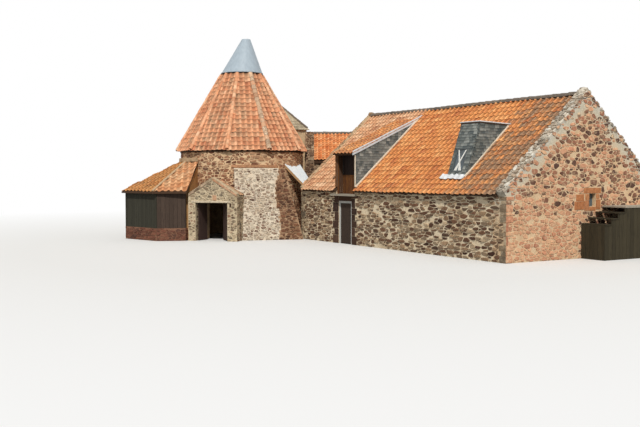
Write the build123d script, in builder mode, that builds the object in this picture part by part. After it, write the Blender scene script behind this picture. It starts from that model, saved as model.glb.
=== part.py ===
from build123d import *
import os
from math import cos, radians, sin, sqrt, tan

os.makedirs("parts", exist_ok=True)

# Mill range, a long low stone building with gables at both ends
mill_length = 13100
mill_depth = 7400
wall_thickness = 600
mill_pitch = 42
eave_height = 2240
eave_overhang = 150
roof_depth = 170
east_skew_width = 400
west_skew_width = 250
skew_rise = 150
skew_nose = 90
ridge_radius = 130
ridge_lap = 25
loft_floor_top = 1990
loft_floor_depth = 100

# Mill door in the front wall, with a painted frame near the wall's face
mill_door_left = 3110
mill_door_width = 990
mill_door_height = 1780
mill_door_setback = 20
mill_frame_width = 90
mill_frame_depth = 110

# Hoist door to the loft under a roof of lower pitch
loft_left = 2960
loft_width = 1340
loft_cheek_thickness = 100
loft_pitch = 24
loft_eave_height = 3780
loft_roof_depth = 110
loft_roof_lap = 20
loft_roof_bearing = 120
loft_door_setback = 300
loft_door_thickness = 50
loft_sill_depth = 80
loft_sill_projection = 200
loft_sill_left_reach = 225
loft_sill_right_reach = 150

# Slated dormer whose front leans back
slate_left = 9550
slate_width = 990
slate_foot_back = 520
slate_head_back = 1160
slate_head_height = 4720
slate_top_drop = 60
slate_skin = 80
slate_window_left = 60
slate_window_width = 600
slate_window_foot = 110
slate_window_height = 850
slate_pane_thickness = 30
lead_thickness = 12
lead_apron_length = 260
lead_apron_reach = 250

# Small window in the east gable
gable_window_back = 3830
gable_window_width = 320
gable_window_sill = 1770
gable_window_height = 440
pane_thickness = 20
gable_pane_setback = 150

# Boarded platform and steps at the east gable
platform_width = 1000
platform_deck_height = 1790
platform_deck_back = 4450
platform_deck_thickness = 50
platform_board_thickness = 30
platform_nosing = 30
step_rise = 194
step_going = 330
step_count = 3
step_thickness = 45

# Link behind the kiln and the mill, askew to both, counted from its front west corner
link_corner_west = 1786
link_corner_back = 1720
link_angle = 59
link_length = 3600
link_gable_thickness = 420
link_gable_rise = 40
link_depth = 3000
link_wall_thickness = 500
link_eave_height = 3580
link_eave_overhang = 100
link_pitch = 40

# Block behind the kiln with a pyramid roof
rear_reach = 6450
rear_width = 2700
rear_front = -100
rear_depth = 2560
rear_wall_thickness = 500
rear_eave_height = 5100
rear_apex_height = 6700
rear_overhang = 100
rear_roof_depth = 140

# Round kiln
kiln_west_of_mill = 3110
kiln_forward = 1420
kiln_radius = 2830
kiln_wall = 600
kiln_eave_height = 4040
kiln_sides = 10
kiln_hip_angle = -3
kiln_eave_corner_radius = 3030
kiln_top_height = 7545
kiln_top_corner_radius = 985
kiln_roof_thickness = 170
kiln_segments = 4
kiln_door_arc = 48

# Turning cowl on the kiln
cowl_gap = 30
cowl_base_radius = 970
cowl_top_radius = 200
cowl_height = 1645
cowl_skew = 270
cowl_skew_angle = 107
cowl_skin = 12
vent_width = 620
vent_sill = 330
vent_height = 560
spindle_radius = 45
spindle_clearance = 0.5
spindle_arm = 60
cowl_beam_height = 6700
cowl_beam_width = 200

# Battered buttress against the kiln and the string course above it
buttress_angle = -14.25
buttress_height = 3160
buttress_top_left = 956
buttress_top_right = 1300
buttress_foot_right = 2090
buttress_foot_front = 300
buttress_top_front = 30
string_course_height = 3190
string_course_depth = 110
string_course_projection = 45
string_course_from = -36
string_course_to = 6

# Porch, square to a radius of the kiln, with two leaves that open inwards
porch_angle = -47
porch_reach = 3640
porch_left = 1125
porch_right = 1125
porch_left_pier = 330
porch_right_pier = 440
porch_door_height = 1650
porch_eave_height = 1950
porch_apex_height = 2740
porch_gable_thickness = 300
porch_roof_depth = 110
porch_coping_rise = 90
kiln_door_head = 1900
porch_leaf_setback = 150
porch_left_ajar = 84
porch_right_ajar = 54

# Door leaves and the strap hinges that carry them
leaf_thickness = 45
leaf_side_gap = 8
leaf_meeting_gap = 12
leaf_floor_gap = 20
leaf_head_gap = 12
pin_radius = 9
pin_clearance = 0.5
eye_radius = 20
eye_height = 50
strap_thickness = 8
strap_share = 0.7
hinge_inset = 260
pintle_height = 16

# Lean-to round the side of the kiln, two facets under one tiled roof
lean_right_reach = 3750
lean_corner_angle = -75.8
lean_corner_reach = 4880
lean_far_angle = -101.4
lean_far_reach = 5430
lean_eave_projection = 170
lean_eave_height = 2170
lean_top_height = 3520
lean_hip_angle = -88
lean_end_angle = -108
lean_roof_depth = 120
lean_plinth_height = 550
lean_plinth_thickness = 250
lean_board_thickness = 40
lean_cheek_thickness = 200

# Sheet cover over the gap between kiln and mill
canopy_high = 3370
canopy_low = 2480
canopy_sheet_depth = 25
canopy_front_angle = 15.5
canopy_back_angle = 42.6
canopy_low_front = 100
canopy_low_back = 900
canopy_beam_width = 80
canopy_beam_depth = 140

# Where the pieces stand, with the origin on the ground at the middle of the plan
lean_far_eave = lean_far_reach + lean_eave_projection
lean_far_forward = lean_far_eave * sin(radians(-lean_far_angle))
mill_west = -(mill_length + platform_width + platform_nosing - rear_reach - rear_overhang) / 2
mill_front = (kiln_forward + lean_far_forward - mill_depth - eave_overhang) / 2
mill_back = mill_front + mill_depth
kiln_x = mill_west - kiln_west_of_mill
kiln_y = mill_front - kiln_forward
kiln_centre = (kiln_x, kiln_y)
corner_aligned = (Align.MIN, Align.MIN, Align.MIN)


def roof_top(back):
    """Height of the mill's tiles, counted back from the front wall's face."""
    return eave_height + (back + eave_overhang) * tan(radians(mill_pitch))


def roof_under(back):
    return roof_top(back) - roof_depth


def loft_top(back):
    """Height of the hoist door's own roof."""
    return loft_eave_height + (back + eave_overhang) * tan(radians(loft_pitch))


def loft_under(back):
    return loft_top(back) - loft_roof_depth


def around_kiln(angle, distance):
    """A plan point at a bearing and a distance from the kiln's centre."""
    return (
        kiln_x + distance * cos(radians(angle)),
        kiln_y + distance * sin(radians(angle)),
    )


def in_porch(across, out):
    """A plan point in the porch's own directions, across it and out from the kiln."""
    x, y = around_kiln(porch_angle, out)
    return (
        x - across * sin(radians(porch_angle)),
        y + across * cos(radians(porch_angle)),
    )


def bar_along_x(section, x_from, x_to):
    """A bar along the mill, with a section of (back, height) corners."""
    with BuildPart() as bar:
        with BuildSketch(Plane.YZ.offset(mill_west + x_from)):
            with BuildLine():
                Polyline([(mill_front + back, height) for back, height in section], close=True)
            make_face()
        extrude(amount=x_to - x_from)
    return bar


def block(x_from, x_to, back_from, back_to, z_from, z_to):
    """A plain block, counted from the mill's front west corner."""
    with BuildPart() as solid:
        with Locations((mill_west + x_from, mill_front + back_from, z_from)):
            Box(x_to - x_from, back_to - back_from, z_to - z_from, align=corner_aligned)
    return solid


def plumb_slab(corners, depth):
    """A slab with these top corners and plumb sides, as deep all over."""
    first, second, third = (Vector(corner) for corner in corners[:3])
    normal = (second - first).cross(third - first)
    top = Plane(origin=first, x_dir=second - first, z_dir=normal if normal.Z > 0 else -normal)
    flat = [top.to_local_coords(Vector(corner)) for corner in corners]
    with BuildPart() as slab:
        with BuildSketch(top):
            with BuildLine():
                Polyline([(point.X, point.Y) for point in flat], close=True)
            make_face()
        extrude(amount=-depth, dir=(0, 0, 1))
    return slab


def plan_prism(corners, z_from, z_to):
    """A plan outline raised between two heights."""
    with BuildPart() as prism:
        with BuildSketch(Plane.XY.offset(z_from)):
            with BuildLine():
                Polyline(corners, close=True)
            make_face()
        extrude(amount=z_to - z_from)
    return prism


def ring_sector(inner, outer, start, arc, z_from, z_to):
    """Part of a round wall about the kiln's centre."""
    with BuildPart() as sector:
        with BuildSketch(Plane.XY.offset(z_from)):
            with BuildLine():
                outside = CenterArc(kiln_centre, outer, start, arc)
                inside = CenterArc(kiln_centre, inner, start, arc)
                Line(outside @ 0, inside @ 0)
                Line(outside @ 1, inside @ 1)
            make_face()
        extrude(amount=z_to - z_from)
    return sector


def kiln_frustum(bottom_radius, bottom_height, top_radius, top_height):
    """The many-sided cone of the kiln's roof, between two rings of corners."""
    with BuildPart() as frustum:
        for radius, height in ((bottom_radius, bottom_height), (top_radius, top_height)):
            with BuildSketch(Plane.XY.offset(height)):
                with Locations(kiln_centre):
                    RegularPolygon(radius, kiln_sides, rotation=kiln_hip_angle)
        loft(ruled=True)
    return frustum


# Kiln envelope, the outer form that its neighbours are cut back to
kiln_slope = (kiln_top_height - kiln_eave_height) / (kiln_eave_corner_radius - kiln_top_corner_radius)
with BuildPart() as kiln_envelope:
    with BuildSketch():
        with Locations(kiln_centre):
            Circle(kiln_radius)
    extrude(amount=kiln_eave_height)
    add(
        kiln_frustum(
            kiln_eave_corner_radius, kiln_eave_height, kiln_top_corner_radius, kiln_top_height
        ).part
    )

# Mill gables
gable_section = [
    (0, 0),
    (mill_depth, 0),
    (mill_depth, roof_under(0)),
    (mill_depth / 2, roof_under(mill_depth / 2)),
    (0, roof_under(0)),
]
mill_west_gable = bar_along_x(gable_section, 0, wall_thickness)
mill_west_gable.part.label = "mill_west_gable"
export_step(mill_west_gable.part, "parts/mill_west_gable.step")

gable_window_hole = block(
    mill_length - wall_thickness - 1,
    mill_length + 1,
    gable_window_back,
    gable_window_back + gable_window_width,
    gable_window_sill,
    gable_window_sill + gable_window_height,
)
with BuildPart() as mill_east_gable:
    add(bar_along_x(gable_section, mill_length - wall_thickness, mill_length).part)
    add(gable_window_hole.part, mode=Mode.SUBTRACT)
mill_east_gable.part.label = "mill_east_gable"
export_step(mill_east_gable.part, "parts/mill_east_gable.step")

gable_window = block(
    mill_length - gable_pane_setback - pane_thickness,
    mill_length - gable_pane_setback,
    gable_window_back,
    gable_window_back + gable_window_width,
    gable_window_sill,
    gable_window_sill + gable_window_height,
)
gable_window.part.label = "gable_window"
export_step(gable_window.part, "parts/gable_window.step")

# Mill front and back walls
front_section = [
    (0, 0),
    (wall_thickness, 0),
    (wall_thickness, roof_under(wall_thickness)),
    (0, roof_under(0)),
]
back_section = [(mill_depth - back, height) for back, height in front_section]
mill_door_right = mill_door_left + mill_door_width
loft_right = loft_left + loft_width
loft_hole = block(loft_left, loft_right, -1, wall_thickness + 1, loft_floor_top, roof_top(wall_thickness))

with BuildPart() as mill_front_wall_west:
    add(bar_along_x(front_section, wall_thickness, mill_door_left).part)
    add(loft_hole.part, mode=Mode.SUBTRACT)
mill_front_wall_west.part.label = "mill_front_wall_west"
export_step(mill_front_wall_west.part, "parts/mill_front_wall_west.step")

with BuildPart() as mill_front_wall_east:
    add(bar_along_x(front_section, mill_door_right, mill_length - wall_thickness).part)
    add(loft_hole.part, mode=Mode.SUBTRACT)
mill_front_wall_east.part.label = "mill_front_wall_east"
export_step(mill_front_wall_east.part, "parts/mill_front_wall_east.step")

mill_front_lintel = block(
    mill_door_left, mill_door_right, 0, wall_thickness, mill_door_height, loft_floor_top
)
mill_front_lintel.part.label = "mill_front_lintel"
export_step(mill_front_lintel.part, "parts/mill_front_lintel.step")

mill_back_wall = bar_along_x(back_section, wall_thickness, mill_length - wall_thickness)
mill_back_wall.part.label = "mill_back_wall"
export_step(mill_back_wall.part, "parts/mill_back_wall.step")

# Loft floor, which the hoist door opens onto
mill_loft_floor = block(
    wall_thickness,
    mill_length - wall_thickness,
    wall_thickness,
    mill_depth - wall_thickness,
    loft_floor_top - loft_floor_depth,
    loft_floor_top,
)
mill_loft_floor.part.label = "mill_loft_floor"
export_step(mill_loft_floor.part, "parts/mill_loft_floor.step")

# Mill roof, two slopes with holes under the dormers
pitch_difference = tan(radians(mill_pitch)) - tan(radians(loft_pitch))
loft_join = (loft_eave_height - eave_height) / pitch_difference - eave_overhang
loft_under_join = (loft_eave_height - loft_roof_depth - eave_height) / pitch_difference - eave_overhang
slate_right = slate_left + slate_width
slate_back_join = (
    slate_head_height - slate_top_drop - eave_height
) / tan(radians(mill_pitch)) - eave_overhang
slope_section = [
    (-eave_overhang, roof_under(-eave_overhang)),
    (mill_depth / 2, roof_under(mill_depth / 2)),
    (mill_depth / 2, roof_top(mill_depth / 2)),
    (-eave_overhang, roof_top(-eave_overhang)),
]
with BuildPart() as mill_roof_front:
    add(bar_along_x(slope_section, west_skew_width, mill_length - east_skew_width).part)
    add(
        block(
            loft_left,
            loft_right,
            -eave_overhang - 1,
            loft_under_join - loft_roof_bearing,
            0,
            kiln_top_height,
        ).part,
        mode=Mode.SUBTRACT,
    )
    add(
        block(
            slate_left + slate_skin,
            slate_right - slate_skin,
            slate_foot_back + slate_skin,
            slate_back_join - loft_roof_bearing,
            0,
            kiln_top_height,
        ).part,
        mode=Mode.SUBTRACT,
    )
mill_roof_front.part.label = "mill_roof_front"
export_step(mill_roof_front.part, "parts/mill_roof_front.step")

back_slope_section = [(mill_depth - back, height) for back, height in slope_section]
mill_roof_back = bar_along_x(back_slope_section, west_skew_width, mill_length - east_skew_width)
mill_roof_back.part.label = "mill_roof_back"
export_step(mill_roof_back.part, "parts/mill_roof_back.step")

# Raised skews on the gables, each with a nose over the wall head
skew_section = [
    (-skew_nose, roof_under(0)),
    (0, roof_under(0)),
    (mill_depth / 2, roof_under(mill_depth / 2)),
    (mill_depth, roof_under(0)),
    (mill_depth + skew_nose, roof_under(0)),
    (mill_depth + skew_nose, roof_top(-skew_nose) + skew_rise),
    (mill_depth / 2, roof_top(mill_depth / 2) + skew_rise),
    (-skew_nose, roof_top(-skew_nose) + skew_rise),
]
with BuildPart() as mill_skews:
    add(bar_along_x(skew_section, 0, west_skew_width).part)
    add(bar_along_x(skew_section, mill_length - east_skew_width, mill_length).part)
mill_skews.part.label = "mill_skews"
export_step(mill_skews.part, "parts/mill_skews.step")

# Ridge tiles, half round over the meeting of the slopes
ridge_height = roof_top(mill_depth / 2)
with BuildPart() as mill_ridge:
    with BuildSketch(Plane.YZ.offset(mill_west + west_skew_width)):
        with Locations((mill_front + mill_depth / 2, ridge_height - ridge_lap)):
            Circle(ridge_radius)
        with BuildLine():
            Polyline(
                [
                    (mill_front, ridge_height - mill_depth / 2 * tan(radians(mill_pitch))),
                    (mill_front + mill_depth / 2, ridge_height),
                    (mill_back, ridge_height - mill_depth / 2 * tan(radians(mill_pitch))),
                ],
                close=True,
            )
        make_face(mode=Mode.SUBTRACT)
    extrude(amount=mill_length - east_skew_width - west_skew_width)
mill_ridge.part.label = "mill_ridge"
export_step(mill_ridge.part, "parts/mill_ridge.step")

# Hoist door to the loft
loft_roof_section = [
    (-eave_overhang, loft_under(-eave_overhang)),
    (loft_under_join, roof_top(loft_under_join)),
    (loft_join, roof_top(loft_join)),
    (-eave_overhang, loft_top(-eave_overhang)),
]
loft_roof = bar_along_x(
    loft_roof_section,
    loft_left - loft_cheek_thickness - loft_roof_lap,
    loft_right + loft_cheek_thickness + loft_roof_lap,
)
loft_roof.part.label = "loft_roof"
export_step(loft_roof.part, "parts/loft_roof.step")

cheek_section = [
    (0, roof_top(0)),
    (loft_under_join, roof_top(loft_under_join)),
    (0, loft_under(0)),
]
with BuildPart() as loft_cheeks:
    add(bar_along_x(cheek_section, loft_left - loft_cheek_thickness, loft_left).part)
    add(bar_along_x(cheek_section, loft_right, loft_right + loft_cheek_thickness).part)
loft_cheeks.part.label = "loft_cheeks"
export_step(loft_cheeks.part, "parts/loft_cheeks.step")

loft_sill_top = loft_floor_top + loft_sill_depth
with BuildPart() as loft_sill:
    add(
        block(
            loft_left - loft_sill_left_reach,
            loft_right + loft_sill_right_reach,
            -loft_sill_projection,
            0,
            loft_floor_top,
            loft_sill_top,
        ).part
    )
    add(
        block(
            loft_left,
            loft_right,
            0,
            loft_door_setback + loft_door_thickness,
            loft_floor_top,
            loft_sill_top,
        ).part
    )
loft_sill.part.label = "loft_sill"
export_step(loft_sill.part, "parts/loft_sill.step")

loft_door_back = loft_door_setback + loft_door_thickness
loft_door = bar_along_x(
    [
        (loft_door_setback, loft_sill_top),
        (loft_door_back, loft_sill_top),
        (loft_door_back, loft_under(loft_door_back)),
        (loft_door_setback, loft_under(loft_door_setback)),
    ],
    loft_left,
    loft_right,
)
loft_door.part.label = "loft_door"
export_step(loft_door.part, "parts/loft_door.step")

# Slated dormer, a shell that stands on the roof with a window in its front
slate_outer = [
    (slate_foot_back, roof_top(slate_foot_back)),
    (slate_back_join, roof_top(slate_back_join)),
    (slate_head_back, slate_head_height),
]
slate_inner = [
    (slate_foot_back + slate_skin, roof_top(slate_foot_back + slate_skin)),
    (slate_back_join - 2 * slate_skin, roof_top(slate_back_join - 2 * slate_skin)),
    (slate_head_back + slate_skin, slate_head_height - slate_skin),
]


def slate_front(height):
    """How far back the leaning front lies at a height."""
    foot = roof_top(slate_foot_back)
    share = (height - foot) / (slate_head_height - foot)
    return slate_foot_back + share * (slate_head_back - slate_foot_back)


window_foot = roof_top(slate_foot_back) + slate_window_foot
window_head = window_foot + slate_window_height
window_left = slate_left + slate_window_left + slate_skin
slate_window_section = [
    (slate_front(window_foot) - slate_skin, window_foot),
    (slate_front(window_foot) + 3 * slate_skin, window_foot),
    (slate_front(window_head) + 3 * slate_skin, window_head),
    (slate_front(window_head) - slate_skin, window_head),
]
with BuildPart() as slate_dormer:
    add(bar_along_x(slate_outer, slate_left, slate_right).part)
    add(
        bar_along_x(slate_inner, slate_left + slate_skin, slate_right - slate_skin).part,
        mode=Mode.SUBTRACT,
    )
    add(
        bar_along_x(slate_window_section, window_left, window_left + slate_window_width).part,
        mode=Mode.SUBTRACT,
    )
slate_dormer.part.label = "slate_dormer"
export_step(slate_dormer.part, "parts/slate_dormer.step")

pane_front = slate_skin / 4
slate_window = bar_along_x(
    [
        (slate_front(window_foot) + pane_front, window_foot),
        (slate_front(window_foot) + pane_front + slate_pane_thickness, window_foot),
        (slate_front(window_head) + pane_front + slate_pane_thickness, window_head),
        (slate_front(window_head) + pane_front, window_head),
    ],
    window_left,
    window_left + slate_window_width,
)
slate_window.part.label = "slate_window"
export_step(slate_window.part, "parts/slate_window.step")

# Lead apron at the dormer's foot
apron_foot = slate_foot_back - lead_apron_length
slate_lead = bar_along_x(
    [
        (apron_foot, roof_top(apron_foot)),
        (slate_foot_back, roof_top(slate_foot_back)),
        (slate_foot_back, roof_top(slate_foot_back) + lead_thickness),
        (apron_foot, roof_top(apron_foot) + lead_thickness),
    ],
    slate_left - lead_apron_reach,
    slate_right,
)
slate_lead.part.label = "slate_lead"
export_step(slate_lead.part, "parts/slate_lead.step")

# Platform and steps at the east gable
platform_under = platform_deck_height - platform_deck_thickness
platform_deck = block(
    mill_length,
    mill_length + platform_width + platform_nosing,
    platform_deck_back,
    mill_depth,
    platform_under,
    platform_deck_height,
)
platform_deck.part.label = "platform_deck"
export_step(platform_deck.part, "parts/platform_deck.step")

stair_foot = platform_deck_back - step_count * step_going
with BuildPart() as platform_steps:
    for step in range(step_count):
        tread_top = platform_deck_height - (step_count - step) * step_rise
        tread_front = stair_foot + step * step_going
        add(
            block(
                mill_length,
                mill_length + platform_width + platform_nosing,
                tread_front,
                tread_front + step_going,
                tread_top - step_thickness,
                tread_top,
            ).part
        )
platform_steps.part.label = "platform_steps"
export_step(platform_steps.part, "parts/platform_steps.step")

board_section = [(stair_foot, 0), (mill_depth, 0), (mill_depth, platform_under)]
board_section.append((platform_deck_back, platform_under))
for step in reversed(range(step_count)):
    tread_under = platform_deck_height - (step_count - step) * step_rise - step_thickness
    board_section.append((stair_foot + (step + 1) * step_going, tread_under))
    board_section.append((stair_foot + step * step_going, tread_under))
platform_outer = mill_length + platform_width
first_tread_under = platform_deck_height - step_count * step_rise - step_thickness
with BuildPart() as platform_boarding:
    add(bar_along_x(board_section, platform_outer - platform_board_thickness, platform_outer).part)
    add(
        block(
            mill_length,
            platform_outer - platform_board_thickness,
            stair_foot,
            stair_foot + platform_board_thickness,
            0,
            first_tread_under,
        ).part
    )
    add(
        block(
            mill_length,
            platform_outer - platform_board_thickness,
            mill_depth - platform_board_thickness,
            mill_depth,
            0,
            platform_under,
        ).part
    )
platform_boarding.part.label = "platform_boarding"
export_step(platform_boarding.part, "parts/platform_boarding.step")

# Link, three walls and a raised stone gable round a tiled roof
link_place = Location((mill_west - link_corner_west, mill_front + link_corner_back, 0), (0, 0, link_angle))


def link_top(back):
    """Height of the link's tiles."""
    from_eave = min(back, link_depth - back) + link_eave_overhang
    return link_eave_height + from_eave * tan(radians(link_pitch))


def bar_along_link(section, along_from, along_to):
    """A bar along the link, with a section of (back, height) corners."""
    with BuildPart() as bar:
        with BuildSketch(Plane.YZ.offset(along_from)):
            with BuildLine():
                Polyline(section, close=True)
            make_face()
        extrude(amount=along_to - along_from)
    return bar.part.moved(link_place)


link_neighbours = [
    block(0, mill_length, 0, mill_depth, 0, roof_top(mill_depth / 2)).part,
    block(
        -rear_reach, rear_width - rear_reach, rear_front, rear_front + rear_depth, 0, rear_eave_height
    ).part,
    kiln_envelope.part,
]
link_wall_section = [
    (0, 0),
    (link_wall_thickness, 0),
    (link_wall_thickness, link_top(link_wall_thickness) - roof_depth),
    (0, link_top(0) - roof_depth),
]
link_back_section = [(link_depth - back, height) for back, height in link_wall_section]
link_end_section = [
    (0, 0),
    (link_depth, 0),
    (link_depth, link_top(link_depth) - roof_depth),
    (link_depth / 2, link_top(link_depth / 2) - roof_depth),
    (0, link_top(0) - roof_depth),
]
with BuildPart() as link_walls:
    add(bar_along_link(link_wall_section, 0, link_length))
    add(bar_along_link(link_back_section, 0, link_length))
    add(bar_along_link(link_end_section, link_length - link_wall_thickness, link_length))
    add(link_neighbours, mode=Mode.SUBTRACT)
link_walls.part.label = "link_walls"
export_step(link_walls.part, "parts/link_walls.step")

link_gable_section = [
    (0, 0),
    (link_depth, 0),
    (link_depth, link_top(link_depth) + link_gable_rise),
    (link_depth / 2, link_top(link_depth / 2) + link_gable_rise),
    (0, link_top(0) + link_gable_rise),
]
with BuildPart() as link_gable:
    add(bar_along_link(link_gable_section, -link_gable_thickness, 0))
    add(link_neighbours, mode=Mode.SUBTRACT)
link_gable.part.label = "link_gable"
export_step(link_gable.part, "parts/link_gable.step")

link_roof_section = [
    (-link_eave_overhang, link_eave_height - roof_depth),
    (link_depth / 2, link_top(link_depth / 2) - roof_depth),
    (link_depth + link_eave_overhang, link_eave_height - roof_depth),
    (link_depth + link_eave_overhang, link_eave_height),
    (link_depth / 2, link_top(link_depth / 2)),
    (-link_eave_overhang, link_eave_height),
]
with BuildPart() as link_roof:
    add(bar_along_link(link_roof_section, 0, link_length))
    add(link_neighbours, mode=Mode.SUBTRACT)
link_roof.part.label = "link_roof"
export_step(link_roof.part, "parts/link_roof.step")

# Block behind the kiln
rear_middle = (mill_west - rear_reach + rear_width / 2, mill_front + rear_front + rear_depth / 2)
with BuildPart() as rear_walls:
    with BuildSketch():
        with Locations(rear_middle):
            Rectangle(rear_width, rear_depth)
            Rectangle(
                rear_width - 2 * rear_wall_thickness,
                rear_depth - 2 * rear_wall_thickness,
                mode=Mode.SUBTRACT,
            )
    extrude(amount=rear_eave_height)
    add(kiln_envelope.part, mode=Mode.SUBTRACT)
rear_walls.part.label = "rear_walls"
export_step(rear_walls.part, "parts/rear_walls.step")

with BuildPart() as rear_roof:
    for inset in (0, rear_roof_depth):
        with BuildSketch(Plane.XY.offset(rear_eave_height)):
            with Locations(rear_middle):
                Rectangle(
                    rear_width + 2 * rear_overhang - 2 * inset,
                    rear_depth + 2 * rear_overhang - 2 * inset,
                )
        with BuildSketch(Plane.XY.offset(rear_apex_height - inset)):
            with Locations(rear_middle):
                Rectangle(rear_roof_depth - inset / 2, rear_roof_depth - inset / 2)
        loft(ruled=True, mode=Mode.SUBTRACT if inset else Mode.ADD)
    add(kiln_envelope.part, mode=Mode.SUBTRACT)
rear_roof.part.label = "rear_roof"
export_step(rear_roof.part, "parts/rear_roof.step")

# Kiln wall, whole segments and the pieces beside and over the doorway
door_left_side = porch_left_pier - porch_left
door_right_side = porch_right - porch_right_pier
doorway = plan_prism(
    [
        in_porch(door_left_side, porch_reach + 1),
        in_porch(door_right_side, porch_reach + 1),
        in_porch(door_right_side, kiln_radius - 2 * kiln_wall),
        in_porch(door_left_side, kiln_radius - 2 * kiln_wall),
    ],
    -1,
    kiln_door_head,
)
door_arc_start = porch_angle - kiln_door_arc / 2
kiln_inner = kiln_radius - kiln_wall
with BuildPart() as kiln_door_jambs:
    add(ring_sector(kiln_inner, kiln_radius, door_arc_start, kiln_door_arc, 0, kiln_door_head).part)
    add(doorway.part, mode=Mode.SUBTRACT)
kiln_door_jambs.part.label = "kiln_door_jambs"
export_step(kiln_door_jambs.part, "parts/kiln_door_jambs.step")

kiln_wall_over_door = ring_sector(
    kiln_inner, kiln_radius, door_arc_start, kiln_door_arc, kiln_door_head, kiln_eave_height
)
kiln_wall_over_door.part.label = "kiln_wall_over_door"
export_step(kiln_wall_over_door.part, "parts/kiln_wall_over_door.step")

segment_arc = (360 - kiln_door_arc) / kiln_segments
for number in range(kiln_segments):
    segment_start = porch_angle + kiln_door_arc / 2 + number * segment_arc
    kiln_wall_segment = ring_sector(
        kiln_inner, kiln_radius, segment_start, segment_arc, 0, kiln_eave_height
    )
    kiln_wall_segment.part.label = f"kiln_wall_{number + 1}"
    export_step(kiln_wall_segment.part, f"parts/kiln_wall_{number + 1}.step")

# Kiln roof, a many-sided cone of flat gores, open at the top under the cowl
kiln_roof = kiln_frustum(
    kiln_eave_corner_radius, kiln_eave_height, kiln_top_corner_radius, kiln_top_height
)
kiln_inner_cone = kiln_frustum(
    kiln_eave_corner_radius - kiln_roof_thickness + kiln_roof_thickness / kiln_slope,
    kiln_eave_height - kiln_roof_thickness,
    kiln_top_corner_radius - kiln_roof_thickness - kiln_roof_thickness / kiln_slope,
    kiln_top_height + kiln_roof_thickness,
)
with kiln_roof:
    add(kiln_inner_cone.part, mode=Mode.SUBTRACT)
kiln_roof.part.label = "kiln_roof"
export_step(kiln_roof.part, "parts/kiln_roof.step")

# Beam across the cone that carries the spindle in a bored seat
beam_half_length = kiln_eave_corner_radius
with BuildPart() as cowl_beam:
    with Locations((kiln_x, kiln_y, cowl_beam_height)):
        Box(2 * beam_half_length, cowl_beam_width, cowl_beam_width)
    add(kiln_inner_cone.part, mode=Mode.INTERSECT)
    with Locations((kiln_x, kiln_y, cowl_beam_height)):
        Cylinder(
            spindle_radius + spindle_clearance,
            cowl_beam_width / 2,
            align=(Align.CENTER, Align.CENTER, Align.MIN),
            mode=Mode.SUBTRACT,
        )
cowl_beam.part.label = "cowl_beam"
export_step(cowl_beam.part, "parts/cowl_beam.step")

# Cowl, a leaning cone of sheet with a rim below and a vent at its steep side
cowl_base_height = kiln_top_height + cowl_gap
cowl_top = (
    kiln_x + cowl_skew * cos(radians(cowl_skew_angle)),
    kiln_y + cowl_skew * sin(radians(cowl_skew_angle)),
)


def leaning_cone(inset):
    """The cowl's outer form, or the space inside its skin."""
    with BuildPart() as cone:
        with BuildSketch(Plane.XY.offset(cowl_base_height)):
            with Locations(kiln_centre):
                Circle(cowl_base_radius - inset)
        with BuildSketch(Plane.XY.offset(cowl_base_height + cowl_height - inset)):
            with Locations(cowl_top):
                Circle(cowl_top_radius - inset / 2)
        loft()
    return cone


cowl_space = leaning_cone(cowl_skin)
with BuildPart() as kiln_cowl:
    add(leaning_cone(0).part)
    add(cowl_space.part, mode=Mode.SUBTRACT)
    vent_plane = Plane(
        origin=(kiln_x, kiln_y, cowl_base_height + vent_sill),
        x_dir=(-sin(radians(cowl_skew_angle)), cos(radians(cowl_skew_angle)), 0),
        z_dir=(cos(radians(cowl_skew_angle)), sin(radians(cowl_skew_angle)), 0),
    )
    with BuildSketch(vent_plane):
        Rectangle(vent_width, vent_height, align=(Align.CENTER, Align.MIN))
    extrude(amount=2 * cowl_base_radius, mode=Mode.SUBTRACT)
kiln_cowl.part.label = "kiln_cowl"
export_step(kiln_cowl.part, "parts/kiln_cowl.step")

# Spindle with four arms that reach the cowl's skin
with BuildPart() as cowl_spindle:
    for turn in (0, 90):
        with BuildSketch(Plane.XY.offset(cowl_base_height)):
            with Locations(kiln_centre):
                Rectangle(2 * cowl_base_radius, spindle_arm, rotation=turn)
        extrude(amount=spindle_arm)
    add(cowl_space.part, mode=Mode.INTERSECT)
    with Locations((kiln_x, kiln_y, cowl_beam_height)):
        Cylinder(
            spindle_radius,
            cowl_base_height + spindle_arm - cowl_beam_height,
            align=(Align.CENTER, Align.CENTER, Align.MIN),
        )
cowl_spindle.part.label = "cowl_spindle"
export_step(cowl_spindle.part, "parts/cowl_spindle.step")



# Porch side walls, from the front plane back to the kiln
def porch_pier(left_side, right_side):
    """A side wall of the porch, cut back to the kiln's round face."""
    with BuildPart() as pier:
        add(
            plan_prism(
                [
                    in_porch(left_side, porch_reach),
                    in_porch(right_side, porch_reach),
                    in_porch(right_side, kiln_inner),
                    in_porch(left_side, kiln_inner),
                ],
                0,
                porch_eave_height,
            ).part
        )
        add(kiln_envelope.part, mode=Mode.SUBTRACT)
    return pier


porch_left_wall = porch_pier(-porch_left, door_left_side)
porch_left_wall.part.label = "porch_left_wall"
export_step(porch_left_wall.part, "parts/porch_left_wall.step")

porch_right_wall = porch_pier(door_right_side, porch_right)
porch_right_wall.part.label = "porch_right_wall"
export_step(porch_right_wall.part, "parts/porch_right_wall.step")

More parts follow.
